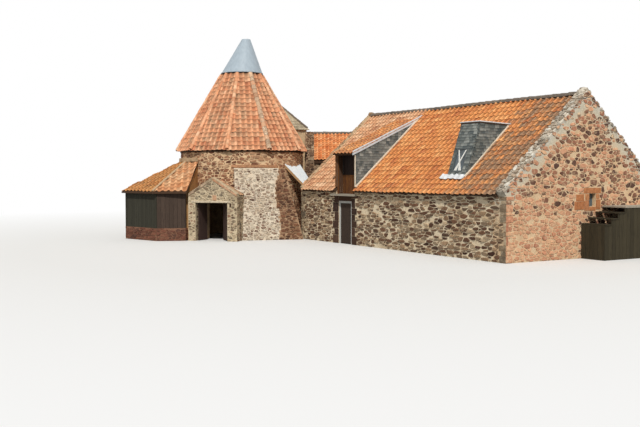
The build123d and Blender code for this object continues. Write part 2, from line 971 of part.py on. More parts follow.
# Porch gable over the doorway, and its roof behind
porch_out = (cos(radians(porch_angle)), sin(radians(porch_angle)), 0)
porch_across = (-porch_out[1], porch_out[0], 0)
porch_face = Plane(
    origin=(*in_porch(0, porch_reach), 0), x_dir=porch_across, z_dir=porch_out
)
porch_middle = (porch_right - porch_left) / 2
with BuildPart() as porch_gable:
    with BuildSketch(porch_face):
        with BuildLine():
            Polyline(
                [
                    (-porch_left, porch_eave_height),
                    (door_left_side, porch_eave_height),
                    (door_left_side, porch_door_height),
                    (door_right_side, porch_door_height),
                    (door_right_side, porch_eave_height),
                    (porch_right, porch_eave_height),
                    (porch_right, porch_eave_height + porch_coping_rise),
                    (porch_middle, porch_apex_height),
                    (-porch_left, porch_eave_height + porch_coping_rise),
                ],
                close=True,
            )
        make_face()
    extrude(amount=-porch_gable_thickness)
porch_gable.part.label = "porch_gable"
export_step(porch_gable.part, "parts/porch_gable.step")

porch_roof_face = porch_face.offset(-porch_gable_thickness)
porch_roof_apex = porch_apex_height - porch_coping_rise
with BuildPart() as porch_roof:
    with BuildSketch(porch_roof_face):
        with BuildLine():
            Polyline(
                [
                    (-porch_left, porch_eave_height),
                    (-porch_left + porch_roof_depth, porch_eave_height),
                    (porch_middle, porch_roof_apex - porch_roof_depth),
                    (porch_right - porch_roof_depth, porch_eave_height),
                    (porch_right, porch_eave_height),
                    (porch_middle, porch_roof_apex),
                ],
                close=True,
            )
        make_face()
    extrude(amount=-porch_reach + kiln_inner)
    add(kiln_envelope.part, mode=Mode.SUBTRACT)
porch_roof.part.label = "porch_roof"
export_step(porch_roof.part, "parts/porch_roof.step")

# Porch envelope, which the buttress beside it is cut back to
with BuildPart() as porch_envelope:
    with BuildSketch(porch_face):
        with BuildLine():
            Polyline(
                [
                    (-porch_left, 0),
                    (porch_right, 0),
                    (porch_right, porch_eave_height + porch_coping_rise),
                    (porch_middle, porch_apex_height),
                    (-porch_left, porch_eave_height + porch_coping_rise),
                ],
                close=True,
            )
        make_face()
    extrude(amount=-porch_reach + kiln_inner)

# Buttress, flat in front, that spreads towards its foot
buttress_out = (cos(radians(buttress_angle)), sin(radians(buttress_angle)))
buttress_along = (-buttress_out[1], buttress_out[0])


def buttress_outline(left, right, front):
    """Plan corners across and out from the kiln's centre."""
    corners = [(-left, kiln_inner), (-left, front), (right, front), (right, kiln_inner)]
    return [
        (
            kiln_x + across * buttress_along[0] + out * buttress_out[0],
            kiln_y + across * buttress_along[1] + out * buttress_out[1],
        )
        for across, out in corners
    ]


with BuildPart() as kiln_buttress:
    with BuildSketch():
        with BuildLine():
            Polyline(
                buttress_outline(
                    buttress_top_left, buttress_foot_right, kiln_radius + buttress_foot_front
                ),
                close=True,
            )
        make_face()
    with BuildSketch(Plane.XY.offset(buttress_height)):
        with BuildLine():
            Polyline(
                buttress_outline(
                    buttress_top_left, buttress_top_right, kiln_radius + buttress_top_front
                ),
                close=True,
            )
        make_face()
    loft(ruled=True)
    add(kiln_envelope.part, mode=Mode.SUBTRACT)
    add(porch_envelope.part, mode=Mode.SUBTRACT)
kiln_buttress.part.label = "kiln_buttress"
export_step(kiln_buttress.part, "parts/kiln_buttress.step")

kiln_string_course = ring_sector(
    kiln_radius,
    kiln_radius + string_course_projection,
    string_course_from,
    string_course_to - string_course_from,
    string_course_height,
    string_course_height + string_course_depth,
)
kiln_string_course.part.label = "kiln_string_course"
export_step(kiln_string_course.part, "parts/kiln_string_course.step")


# Door leaves, each with two straps whose eyes turn on pins
def door_leaf(hinge, width, height, hand):
    """A boarded leaf from its hinge axis; hand is 1 where its inner face is on the plane's +y side."""
    strap_length = strap_share * width
    inner_face = -hand * eye_radius
    with BuildPart() as leaf:
        with BuildSketch(hinge.offset(leaf_floor_gap)):
            with Locations((-eye_radius, inner_face)):
                Rectangle(
                    width + eye_radius,
                    leaf_thickness,
                    align=(Align.MIN, Align.MAX if hand > 0 else Align.MIN),
                )
        extrude(amount=height - leaf_floor_gap)
        for eye_foot in (hinge_inset, height - hinge_inset - eye_height):
            with BuildSketch(hinge.offset(eye_foot)):
                Circle(eye_radius)
                with Locations((0, inner_face)):
                    Rectangle(
                        strap_length,
                        eye_radius + strap_thickness,
                        align=(Align.MIN, Align.MIN if hand > 0 else Align.MAX),
                    )
                with Locations((eye_radius, inner_face + hand * strap_thickness)):
                    Rectangle(
                        strap_length,
                        eye_radius,
                        align=(Align.MIN, Align.MIN if hand > 0 else Align.MAX),
                        mode=Mode.SUBTRACT,
                    )
                Circle(pin_radius + pin_clearance, mode=Mode.SUBTRACT)
            extrude(amount=eye_height)
    return leaf


def pintles(hinge, height, towards):
    """Two pins on short arms that reach the jamb beside the leaf."""
    with BuildPart() as pins:
        for eye_foot in (hinge_inset, height - hinge_inset - eye_height):
            with BuildSketch(hinge.offset(eye_foot - pintle_height - pin_clearance)):
                Circle(pin_radius)
                with Locations((0, 0)):
                    Rectangle(towards, 2 * pin_radius, align=(Align.MAX, Align.CENTER))
            extrude(amount=pintle_height)
            with BuildSketch(hinge.offset(eye_foot - pin_clearance)):
                Circle(pin_radius)
            extrude(amount=eye_height)
    return pins


def turned(point, direction, opening):
    """The plane of a leaf hung at a plan point, its x along the leaf."""
    angle = radians(direction + opening)
    return Plane(origin=(*point, 0), x_dir=(cos(angle), sin(angle), 0), z_dir=(0, 0, 1))


hinge_stand_off = leaf_side_gap + eye_radius
porch_leaf_width = (
    door_right_side - door_left_side - 2 * hinge_stand_off - leaf_meeting_gap
) / 2
porch_leaf_height = porch_door_height - leaf_head_gap
porch_hinge_out = porch_reach - porch_leaf_setback - leaf_thickness - eye_radius
porch_left_pin = in_porch(door_left_side + hinge_stand_off, porch_hinge_out)
porch_right_pin = in_porch(door_right_side - hinge_stand_off, porch_hinge_out)
across_angle = porch_angle + 90

porch_door_left = door_leaf(
    turned(porch_left_pin, across_angle, porch_left_ajar), porch_leaf_width, porch_leaf_height, 1
)
porch_door_left.part.label = "porch_door_left"
export_step(porch_door_left.part, "parts/porch_door_left.step")

porch_door_right = door_leaf(
    turned(porch_right_pin, across_angle + 180, -porch_right_ajar),
    porch_leaf_width,
    porch_leaf_height,
    -1,
)
porch_door_right.part.label = "porch_door_right"
export_step(porch_door_right.part, "parts/porch_door_right.step")

# Mill door and its frame
frame_left = mill_door_left + mill_frame_width
frame_right = mill_door_right - mill_frame_width
frame_head = mill_door_height - mill_frame_width
with BuildPart() as mill_door_frame:
    with BuildSketch(Plane.XZ.offset(-mill_front - mill_door_setback)):
        with Locations((mill_west + mill_door_left, 0)):
            Rectangle(mill_door_width, mill_door_height, align=(Align.MIN, Align.MIN))
        with Locations((mill_west + frame_left, 0)):
            Rectangle(
                frame_right - frame_left,
                frame_head,
                align=(Align.MIN, Align.MIN),
                mode=Mode.SUBTRACT,
            )
    extrude(amount=-mill_frame_depth)
mill_door_frame.part.label = "mill_door_frame"
export_step(mill_door_frame.part, "parts/mill_door_frame.step")

mill_leaf_height = frame_head - leaf_head_gap
mill_leaf_width = frame_right - frame_left - leaf_side_gap - hinge_stand_off
mill_hinge_back = mill_door_setback + mill_frame_depth - eye_radius
mill_pin = (mill_west + frame_right - hinge_stand_off, mill_front + mill_hinge_back)
mill_door = door_leaf(turned(mill_pin, 180, 0), mill_leaf_width, mill_leaf_height, -1)
mill_door.part.label = "mill_door"
export_step(mill_door.part, "parts/mill_door.step")

with BuildPart() as door_pintles:
    add(pintles(turned(porch_left_pin, across_angle, 0), porch_leaf_height, hinge_stand_off).part)
    add(
        pintles(
            turned(porch_right_pin, across_angle + 180, 0), porch_leaf_height, hinge_stand_off
        ).part
    )
    add(pintles(turned(mill_pin, 180, 0), mill_leaf_height, hinge_stand_off).part)
door_pintles.part.label = "door_pintles"
export_step(door_pintles.part, "parts/door_pintles.step")


# Lean-to, its walls set back under the eave
def lean_wall_corners(inset):
    """Wall corners from the right end to the far end, moved in towards the kiln."""
    return [
        in_porch(-porch_left - lean_cheek_thickness / 2, lean_right_reach - inset),
        around_kiln(lean_corner_angle, lean_corner_reach - inset),
        around_kiln(lean_far_angle, lean_far_reach - inset),
        around_kiln(lean_end_angle, kiln_inner),
    ]


lean_eave = [
    in_porch(-porch_left + lean_board_thickness, lean_right_reach + lean_eave_projection),
    around_kiln(lean_corner_angle, lean_corner_reach + lean_eave_projection),
    around_kiln(lean_far_angle, lean_far_eave),
]
verge_out = sqrt(kiln_radius**2 - (porch_left - lean_board_thickness) ** 2)
lean_top = [
    in_porch(-porch_left + lean_board_thickness, verge_out),
    around_kiln(lean_hip_angle, kiln_radius),
    around_kiln(lean_end_angle, kiln_radius),
]
eave_points = [(*point, lean_eave_height) for point in lean_eave]
top_points = [(*point, lean_top_height) for point in lean_top]
with BuildPart() as lean_to_roof:
    for right, left in ((0, 1), (1, 2)):
        add(plumb_slab([eave_points[right], eave_points[left], top_points[left]], lean_roof_depth).part)
        add(plumb_slab([eave_points[right], top_points[left], top_points[right]], lean_roof_depth).part)
    add(kiln_envelope.part, mode=Mode.SUBTRACT)
lean_to_roof.part.label = "lean_to_roof"
export_step(lean_to_roof.part, "parts/lean_to_roof.step")

# The space under the lean-to's roof, which its walls are cut to
with BuildPart() as under_lean_roof:
    lean_plan = [*lean_eave, *reversed(lean_top)]
    add(plan_prism(lean_plan, -1, lean_eave_height - lean_roof_depth).part)
    for right, left in ((0, 1), (1, 2)):
        for corners in (
            [eave_points[right], eave_points[left], top_points[left]],
            [eave_points[right], top_points[left], top_points[right]],
        ):
            lowered = [(x, y, z - lean_roof_depth) for x, y, z in corners]
            add(plumb_slab(lowered, lean_top_height - lean_eave_height).part)


def lean_wall(first, thickness, z_from, z_to, inset):
    """A straight wall of the lean-to between two of its corners, under the roof."""
    outer = lean_wall_corners(inset)
    inner = lean_wall_corners(inset + thickness)
    outline = [outer[first], outer[first + 1], inner[first + 1], inner[first]]
    with BuildPart() as wall:
        add(plan_prism(outline, z_from, z_to).part)
        add(kiln_envelope.part, mode=Mode.SUBTRACT)
        add(under_lean_roof.part, mode=Mode.INTERSECT)
    return wall


with BuildPart() as lean_to_plinth:
    for side in range(2):
        add(lean_wall(side, lean_plinth_thickness, 0, lean_plinth_height, 0).part)
lean_to_plinth.part.label = "lean_to_plinth"
export_step(lean_to_plinth.part, "parts/lean_to_plinth.step")

lean_to_front_boards = lean_wall(
    0, lean_board_thickness, lean_plinth_height, lean_top_height, lean_board_thickness
)
lean_to_front_boards.part.label = "lean_to_front_boards"
export_step(lean_to_front_boards.part, "parts/lean_to_front_boards.step")

lean_to_side_boards = lean_wall(
    1, lean_board_thickness, lean_plinth_height, lean_top_height, lean_board_thickness
)
lean_to_side_boards.part.label = "lean_to_side_boards"
export_step(lean_to_side_boards.part, "parts/lean_to_side_boards.step")

end_corner = Vector(*around_kiln(lean_far_angle, lean_far_reach), 0)
end_inner_corner = Vector(*around_kiln(lean_far_angle, lean_far_reach - lean_plinth_thickness), 0)
end_foot = Vector(*around_kiln(lean_end_angle, kiln_inner), 0)
end_inward = (end_foot - end_corner).normalized().rotate(Axis.Z, -90) * lean_board_thickness
end_corners = [end_corner, end_foot, end_foot + end_inward, end_inner_corner]
with BuildPart() as lean_to_end_boards:
    add(plan_prism([(corner.X, corner.Y) for corner in end_corners], 0, lean_top_height).part)
    add(kiln_envelope.part, mode=Mode.SUBTRACT)
    add(under_lean_roof.part, mode=Mode.INTERSECT)
lean_to_end_boards.part.label = "lean_to_end_boards"
export_step(lean_to_end_boards.part, "parts/lean_to_end_boards.step")

with BuildPart() as lean_to_cheek:
    add(
        plan_prism(
            [
                in_porch(-porch_left, kiln_inner),
                in_porch(-porch_left, lean_right_reach - lean_plinth_thickness),
                in_porch(-porch_left - lean_cheek_thickness, lean_right_reach - lean_plinth_thickness),
                in_porch(-porch_left - lean_cheek_thickness, kiln_inner),
            ],
            0,
            lean_top_height,
        ).part
    )
    add(kiln_envelope.part, mode=Mode.SUBTRACT)
    add(under_lean_roof.part, mode=Mode.INTERSECT)
lean_to_cheek.part.label = "lean_to_cheek"
export_step(lean_to_cheek.part, "parts/lean_to_cheek.step")

# Canopy, a sheet on two beams between the kiln and the mill's west gable
canopy_corners = [
    (*around_kiln(canopy_front_angle, kiln_radius), canopy_high),
    (mill_west, mill_front + canopy_low_front, canopy_low),
    (*around_kiln(canopy_back_angle, kiln_radius), canopy_high),
]
high_front, low_front, high_back = (Vector(corner) for corner in canopy_corners)
canopy_normal = (low_front - high_front).cross(high_back - high_front)
low_back_y = mill_front + canopy_low_back
low_back_z = low_front.Z - canopy_normal.Y / canopy_normal.Z * (canopy_low_back - canopy_low_front)
low_back = Vector(mill_west, low_back_y, low_back_z)
sheet_corners = [tuple(corner) for corner in (high_front, low_front, low_back, high_back)]
with BuildPart() as canopy_sheet:
    add(plumb_slab(sheet_corners, canopy_sheet_depth).part)
    add(kiln_envelope.part, mode=Mode.SUBTRACT)
canopy_sheet.part.label = "canopy_sheet"
export_step(canopy_sheet.part, "parts/canopy_sheet.step")

with BuildPart() as canopy_beams:
    for high, low, side in ((high_front, low_front, 1), (high_back, low_back, -1)):
        shift = Vector(0, side * canopy_beam_width, 0)
        across = [high, low, low + shift, high + shift]
        lowered = [
            (
                point.X,
                point.Y,
                low_front.Z
                - canopy_sheet_depth
                - (canopy_normal.X * (point.X - low_front.X) + canopy_normal.Y * (point.Y - low_front.Y))
                / canopy_normal.Z,
            )
            for point in across
        ]
        add(plumb_slab(lowered, canopy_beam_depth).part)
    add(kiln_envelope.part, mode=Mode.SUBTRACT)
canopy_beams.part.label = "canopy_beams"
export_step(canopy_beams.part, "parts/canopy_beams.step")
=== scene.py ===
import math
import random

import bmesh
import bpy
import numpy as np
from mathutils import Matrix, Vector


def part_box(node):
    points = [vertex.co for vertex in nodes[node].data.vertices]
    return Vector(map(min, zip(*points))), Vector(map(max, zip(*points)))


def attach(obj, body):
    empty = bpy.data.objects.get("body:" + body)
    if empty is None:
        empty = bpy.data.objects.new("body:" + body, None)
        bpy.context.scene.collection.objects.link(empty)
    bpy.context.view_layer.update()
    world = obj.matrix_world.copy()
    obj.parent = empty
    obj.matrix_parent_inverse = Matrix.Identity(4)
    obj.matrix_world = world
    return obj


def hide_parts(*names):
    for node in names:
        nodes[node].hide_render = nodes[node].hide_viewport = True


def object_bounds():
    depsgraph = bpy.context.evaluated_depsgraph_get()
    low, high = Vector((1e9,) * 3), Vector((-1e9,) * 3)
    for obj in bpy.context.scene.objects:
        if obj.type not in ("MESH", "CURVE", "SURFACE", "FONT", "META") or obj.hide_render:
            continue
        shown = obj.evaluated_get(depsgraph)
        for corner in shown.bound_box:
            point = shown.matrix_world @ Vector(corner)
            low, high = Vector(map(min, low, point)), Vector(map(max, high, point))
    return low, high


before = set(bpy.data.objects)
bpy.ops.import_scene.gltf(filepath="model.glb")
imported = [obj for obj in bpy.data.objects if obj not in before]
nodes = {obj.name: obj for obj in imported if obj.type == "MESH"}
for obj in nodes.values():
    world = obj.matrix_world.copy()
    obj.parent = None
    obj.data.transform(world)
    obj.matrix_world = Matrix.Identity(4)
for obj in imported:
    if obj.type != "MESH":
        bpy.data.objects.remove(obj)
cad_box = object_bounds()
draw = random.Random(11)

# Sizes taken over from the CAD, in metres; x and back count from the mill's front west corner
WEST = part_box("mill_west_gable")[0].x
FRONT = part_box("mill_front_wall_west")[0].y
LENGTH, DEPTH, WALL_TOP = 13.1, 7.4, 2.2
EAVE, EAVE_Z, PITCH = 0.15, 2.24, math.radians(42)
KILN_X, KILN_Y, KILN_R = WEST - 3.11, FRONT - 1.42, 2.83
PORCH = math.radians(-47)
UP = (0, 0, 1)


def roof_z(back):
    """Height of the mill's roof plane, counted back from the front wall."""
    return EAVE_Z + (back + EAVE) * math.tan(PITCH)


APEX = roof_z(DEPTH / 2)


def at(x, back, z):
    return (WEST + x, FRONT + back, z)


def around(angle, reach, z):
    """A point at a bearing in degrees and a distance from the kiln's axis."""
    a = math.radians(angle)
    return (KILN_X + reach * math.cos(a), KILN_Y + reach * math.sin(a), z)


def porch_at(across, out, z):
    """A point across the porch and out along it from the kiln's axis."""
    return (
        KILN_X + out * math.cos(PORCH) - across * math.sin(PORCH),
        KILN_Y + out * math.sin(PORCH) + across * math.cos(PORCH), z,
    )


# ---------------------------------------------------------------- materials


def colour(r, g, b):
    """Linear colour of a tone as it looks, from 0 to 255."""

    def lin(c):
        c /= 255
        return c / 12.92 if c <= 0.04045 else ((c + 0.055) / 1.055) ** 2.4

    return (lin(r), lin(g), lin(b), 1.0)


def grey(value):
    return (value, value, value, 1)


class Tree:
    """A node tree, built up node by node."""

    def __init__(self, tree):
        self.tree = tree

    def feed(self, node, inputs):
        """Sets a node's inputs, each to a value or by a link."""
        for key, value in inputs.items():
            if isinstance(value, bpy.types.NodeSocket):
                self.tree.links.new(value, node.inputs[key])
            else:
                node.inputs[key].default_value = value

    def node(self, kind, inputs, **settings):
        node = self.tree.nodes.new("ShaderNode" + kind)
        for key, value in settings.items():
            setattr(node, key, value)
        self.feed(node, inputs)
        return node

    def sum(self, operation, a, b):
        return self.node("Math", {0: a, 1: b}, operation=operation).outputs[0]


class Look(Tree):
    """A material of procedural nodes."""

    def __init__(self, name, rough=0.9, metallic=0.0, specular=0.25):
        self.material = bpy.data.materials.new(name)
        self.material.use_nodes = True
        super().__init__(self.material.node_tree)
        self.shader = self.tree.nodes["Principled BSDF"]
        self.feed(self.shader, {"Roughness": rough, "Metallic": metallic, "Specular IOR Level": specular})
        self.where = self.node("TexCoord", {}).outputs["Object"]

    def noise(self, scale, detail, rough, stretch=None):
        where = self.where
        if stretch:
            where = self.node("Mapping", {"Vector": where, "Scale": stretch}).outputs["Vector"]
        inputs = {"Vector": where, "Scale": scale, "Detail": detail, "Roughness": rough}
        return self.node("TexNoise", inputs).outputs["Fac"]

    def attribute(self, name):
        return self.node("Attribute", {}, attribute_name=name).outputs["Fac"]

    def ramp(self, source, stops):
        node = self.node("ValToRGB", {"Fac": source})
        elements = node.color_ramp.elements
        while len(elements) < len(stops):
            elements.new(0.5)
        for element, (position, tone) in zip(elements, stops):
            element.position, element.color = position, tone
        return node.outputs["Color"]

    def level(self, source, low, high):
        """0 below low and 1 above high, or the other way round."""
        inputs = {"Value": source, "From Min": low, "From Max": high}
        return self.node("MapRange", inputs).outputs["Result"]

    def mix(self, share, a, b, mode="MIX"):
        return self.node("Mix", {0: share, 6: a, 7: b}, data_type="RGBA", blend_type=mode).outputs[2]

    def times(self, base, factor):
        return self.mix(1.0, base, factor, "MULTIPLY")

    def shade(self, base, low, high, scale):
        """The tone made darker and lighter in patches."""
        patches = self.ramp(self.noise(scale, 5, 0.65), [(0.3, grey(low)), (0.7, grey(high))])
        return self.times(base, patches)

    def spots(self, base, tone, share, noise, low, high):
        """Spots of another tone where a noise is high."""
        cover = self.level(self.noise(*noise), low, high)
        return self.mix(self.sum("MULTIPLY", cover, share), base, colour(*tone))

    def paint(self, tone, bump, strength, distance):
        relief = self.node("Bump", {"Height": bump, "Strength": strength, "Distance": distance})
        self.feed(self.shader, {"Base Color": tone, "Normal": relief.outputs["Normal"]})
        return self.material


def spread(tones, start=0.0, width=1.0):
    """Ramp stops for tones at equal steps."""
    return [(start + width * (i / max(1, len(tones) - 1)), colour(*tone)) for i, tone in enumerate(tones)]


def mortar_look(name, *tones, patch=1.2, stain=None, band=None):
    look = Look(name, rough=0.95, specular=0.1)
    base = look.ramp(look.noise(patch, 5, 0.6), spread(tones, 0.32, 0.36))
    if band:
        base = look.mix(near_verge(look), base, colour(*band))
    base = look.shade(base, 0.74, 1.1, 22)
    if stain:
        base = look.spots(base, stain, 0.7, (2.6, 6, 0.7), 0.56, 0.68)
    return look.paint(base, look.noise(60, 6, 0.7), 0.6, 0.012)


def near_verge(look):
    """1 close under the gable's slopes, 0 from some way down."""
    split = look.node("SeparateXYZ", {0: look.where}).outputs
    aside = look.sum("ABSOLUTE", look.sum("SUBTRACT", split["Y"], FRONT + DEPTH / 2), 0.0)
    height = look.sum("ADD", split["Z"], look.sum("MULTIPLY", aside, math.tan(PITCH)))
    height = look.sum("ADD", height, look.sum("MULTIPLY", look.noise(1.4, 4, 0.6), 0.7))
    return look.level(height, APEX - 0.6, APEX + 0.1)


def stone_look(name, *tones, smear=(205, 175, 140), smeared=0.25, edge=0.6):
    look = Look(name, rough=0.9, specular=0.15)
    base = look.ramp(look.attribute("tint"), spread(tones))
    base = look.shade(look.shade(base, 0.68, 1.22, 9), 0.8, 1.14, 30)
    wash = look.level(look.noise(7, 6, 0.72), 0.66 - smeared * 0.4, 0.8 - smeared * 0.4)
    base = look.mix(look.sum("MULTIPLY", wash, look.attribute("age")), base, colour(*smear))
    # Painted shade round each stone's foot where it meets the mortar; edge sets how dark.
    base = look.times(base, look.ramp(look.attribute("deep"), [(0.0, grey(1)), (1.0, grey(edge))]))
    return look.paint(base, look.noise(38, 6, 0.7), 0.55, 0.012)


OLD_TILE = ((150, 110, 84), (120, 104, 88), (158, 142, 118))
LICHEN, MOSS = (228, 200, 164), (112, 92, 66)


def tile_look(name, *tones, old=OLD_TILE, pan=0.5, worn=0.0):
    look = Look(name, rough=0.82, specular=0.2)
    base = look.shade(look.ramp(look.attribute("tint"), spread(tones)), 0.84, 1.1, 7)
    grime = look.ramp(look.noise(11, 5, 0.7), spread(old, 0.34, 0.3))
    wear = look.sum("ADD", look.attribute("age"), look.level(look.noise(9, 6, 0.75), 0.3, 0.7))
    base = look.mix(look.level(wear, 0.75 - worn, 1.45 - worn), base, grime)
    base = look.spots(base, LICHEN, 0.55, (13, 5, 0.85), 0.58, 0.68)
    base = look.spots(base, MOSS, 0.4, (9, 5, 0.8), 0.62, 0.7)
    # Painted light from each point's painted shade value: a painted highlight on the roll's crest, painted
    # shade in the pan and a painted shadow under the next tile's lip.
    painted_highlight_and_shade = [(0.0, grey(1.16)), (0.45, (0.92, 0.9, 0.88, 1)), (1.0, (pan, pan * 0.92, pan * 0.86, 1))]
    base = look.times(base, look.ramp(look.attribute("deep"), painted_highlight_and_shade))
    return look.paint(base, look.noise(45, 5, 0.6), 0.35, 0.006)


def wood_look(name, *tones, grain=(28, 28, 1.6)):
    look = Look(name, rough=0.85, specular=0.2)
    streaks = look.noise(1.0, 8, 0.7, grain)
    base = look.ramp(streaks, spread(tones, 0.3, 0.4))
    base = look.times(base, look.ramp(look.attribute("tint"), [(0, grey(0.75)), (1, grey(1.2))]))
    return look.paint(base, streaks, 0.5, 0.008)


def slate_look(name, *tones, lichen=(176, 170, 150)):
    look = Look(name, rough=0.65, specular=0.3)
    base = look.shade(look.ramp(look.attribute("tint"), spread(tones)), 0.72, 1.18, 12)
    base = look.spots(base, lichen, 0.5, (9, 5, 0.8), 0.56, 0.68)
    # Painted highlight on each slate's open lower part, and painted shadow on the part the next row covers.
    base = look.times(base, look.ramp(look.attribute("deep"), [(0.0, grey(1.12)), (1.0, grey(0.42))]))
    return look.paint(base, look.noise(50, 4, 0.6), 0.25, 0.004)


def sheet_look(name, tone, streak, rough):
    look = Look(name, rough=rough, specular=0.4)
    base = look.ramp(look.noise(1.0, 6, 0.65, (9, 9, 0.7)), [(0.3, colour(*streak)), (0.62, colour(*tone))])
    return look.paint(look.shade(base, 0.93, 1.05, 3), look.noise(14, 3, 0.5), 0.08, 0.004)


def plain_look(name, noise, low, high, bump, strength, distance, **shine):
    """Two tones that melt into each other, each with its place on a noise."""
    look = Look(name, **shine)
    base = look.ramp(look.noise(*noise), [(place, colour(*tone)) for place, tone in (low, high)])
    return look.paint(base, look.noise(*bump), strength, distance)


MORTAR_KILN = mortar_look(
    "mortar_kiln", (226, 190, 148), (240, 208, 168), (204, 168, 130), stain=(176, 142, 112),
)
MORTAR_BUTTRESS = mortar_look(
    "mortar_buttress", (236, 217, 190), (246, 232, 210), (218, 195, 166), stain=(190, 166, 140),
)
# Darker than the other mortars: painted shade on the link's walls.
MORTAR_LINK_PAINTED_SHADE = mortar_look("mortar_link", (150, 124, 98), (176, 148, 120), (120, 96, 78), stain=(96, 76, 62))
MORTAR_FRONT = mortar_look(
    "mortar_front", (242, 218, 182), (250, 232, 200), (222, 196, 160), stain=(170, 142, 114),
)
MORTAR_GABLE = mortar_look(
    "mortar_gable", (228, 194, 154), (238, 208, 170), (214, 176, 136), stain=(200, 176, 144),
    band=(218, 208, 186),
)
MORTAR_PORCH = mortar_look(
    "mortar_porch", (216, 194, 160), (228, 210, 178), (190, 170, 138), stain=(152, 140, 114),
)
MORTAR_CHEEK = mortar_look(
    "mortar_cheek", (176, 130, 84), (192, 148, 100), (150, 108, 68), stain=(124, 88, 58),
)
MORTAR_REDDER = mortar_look(
    "mortar_redder", (176, 142, 110), (194, 160, 128), (152, 120, 92), stain=(124, 94, 72),
)
HARL = mortar_look("harl", (222, 190, 148), (231, 202, 162), (206, 175, 135), stain=(172, 148, 118))
VERGE = mortar_look(
    "verge", (190, 158, 124), (206, 178, 144), (160, 140, 108), patch=3.4, stain=(136, 124, 96),
)
FILLET = mortar_look("fillet", (236, 220, 196), (244, 230, 208), (218, 196, 166))
VERGE_STONE = stone_look(
    "verge_stone", (216, 166, 126), (190, 150, 116), (156, 128, 98), (224, 190, 154), (134, 112, 88),
    smeared=0.4, edge=0.5,
)
SKEW_MORTAR = mortar_look(
    "skew_mortar", (206, 196, 178), (220, 212, 196), (178, 166, 146), patch=3.2, stain=(130, 118, 102),
)
STONE_KILN = stone_look(
    "stone_kiln", (92, 62, 50), (146, 98, 74), (172, 126, 96), (104, 76, 66), (198, 154, 120), (136, 86, 64),
    (214, 178, 142), smear=(222, 188, 150), smeared=0.3, edge=0.5,
)
# Darker stones than the other walls: painted shade on the link's walls.
STONE_LINK_PAINTED_SHADE = stone_look(
    "stone_link", (92, 68, 54), (120, 92, 72), (74, 56, 48), (140, 110, 84), (98, 74, 60), (206, 184, 152),
    smeared=0.2,
)
STONE_FRONT = stone_look(
    "stone_front", (78, 54, 45), (120, 88, 68), (184, 152, 120), (88, 65, 54), (216, 190, 156), (100, 72, 58),
    (144, 106, 82), smear=(234, 212, 178), smeared=0.15, edge=0.45,
)
STONE_GABLE = stone_look(
    "stone_gable", (232, 172, 134), (238, 188, 148), (220, 154, 120), (232, 180, 142), (196, 134, 106),
    (136, 98, 80), (94, 70, 62), smear=(236, 206, 168), smeared=0.4, edge=0.55,
)
STONE_RED = stone_look(
    "stone_red", (130, 82, 66), (112, 74, 62), (146, 96, 76), (94, 68, 60), smear=(150, 112, 88), smeared=0.3,
    edge=0.6,
)
MORTAR_PLINTH = mortar_look(
    "mortar_plinth", (136, 98, 78), (148, 110, 88), (118, 84, 68), stain=(100, 74, 62),
)
STONE_DARK = stone_look("stone_dark", (78, 58, 48), (94, 70, 58), (66, 50, 44), (108, 82, 66), smeared=0.1)
STONE_PORCH = stone_look(
    "stone_porch", (160, 138, 112), (118, 106, 90), (206, 184, 152), (104, 80, 66), (224, 202, 172),
    (142, 102, 80), smear=(226, 206, 174), smeared=0.4, edge=0.5,
)
STONE_BUTTRESS = stone_look(
    "stone_buttress", (216, 200, 178), (190, 172, 150), (170, 146, 124), (208, 194, 172), (140, 104, 84),
    (112, 86, 72), (84, 66, 58), smear=(234, 222, 202), smeared=0.5, edge=0.5,
)
STONE_BUTTRESS_RED = stone_look(
    "stone_buttress_red", (118, 82, 62), (92, 66, 54), (146, 102, 76), (108, 74, 58), (172, 130, 100),
    (98, 68, 56), smear=(186, 150, 116), smeared=0.15, edge=0.45,
)
COPING = stone_look(
    "coping", (226, 217, 200), (188, 168, 146), (146, 132, 114), (240, 234, 220), (180, 156, 132),
    (210, 200, 182), (130, 116, 102), smear=(228, 221, 206), smeared=0.4, edge=0.5,
)
PINK_STONE = stone_look("pink_stone", (210, 160, 128), (196, 146, 112), (218, 174, 142), smeared=0.5)
PALE_STONE = stone_look("pale_stone", (214, 196, 168), (204, 184, 154), (222, 206, 180), smeared=0.3)
SANDSTONE = stone_look(
    "sandstone", (206, 140, 92), (190, 122, 80), (214, 154, 106), (178, 112, 78), smeared=0.2,
)
STRING = stone_look(
    "string", (186, 138, 104), (168, 122, 92), (196, 150, 114), smear=(210, 180, 142), smeared=0.8,
)
TILES = tile_look(
    "tiles", (225, 147, 87), (236, 162, 98), (213, 132, 78), (243, 177, 115), (229, 153, 92), (198, 119, 74),
    old=((172, 126, 94), (146, 116, 92), (182, 152, 122)), pan=0.46,
)
TILES_LINK = tile_look(
    "tiles_link", (244, 160, 98), (216, 122, 72), (250, 176, 116), (234, 142, 84), (252, 188, 134),
    (240, 156, 98), pan=0.44,
)
TILES_KILN = tile_look(
    "tiles_kiln", (232, 164, 122), (242, 178, 136), (219, 147, 107), (247, 192, 152), (228, 157, 116),
    (206, 130, 94), pan=0.42, old=((186, 140, 108), (164, 134, 106), (204, 174, 140)), worn=0.1,
)
TILES_FADED = tile_look(
    "tiles_faded", (228, 173, 131), (238, 189, 147), (213, 155, 115), (243, 202, 164), (221, 165, 125),
    (195, 137, 102), old=((190, 152, 118), (168, 140, 112), (206, 180, 144)), worn=0.15,
)
TILES_LEAN = tile_look(
    "tiles_lean", (198, 132, 76), (212, 148, 88), (180, 112, 62), (220, 160, 100), (190, 122, 70),
    old=((176, 128, 82), (156, 120, 80), (196, 152, 104)),
)
TILES_LEAN_PALE = tile_look(
    "tiles_lean_pale", (224, 160, 112), (234, 178, 132), (206, 138, 92), (240, 196, 152), (214, 150, 106),
    old=((190, 150, 112), (172, 142, 110), (214, 184, 148)),
)
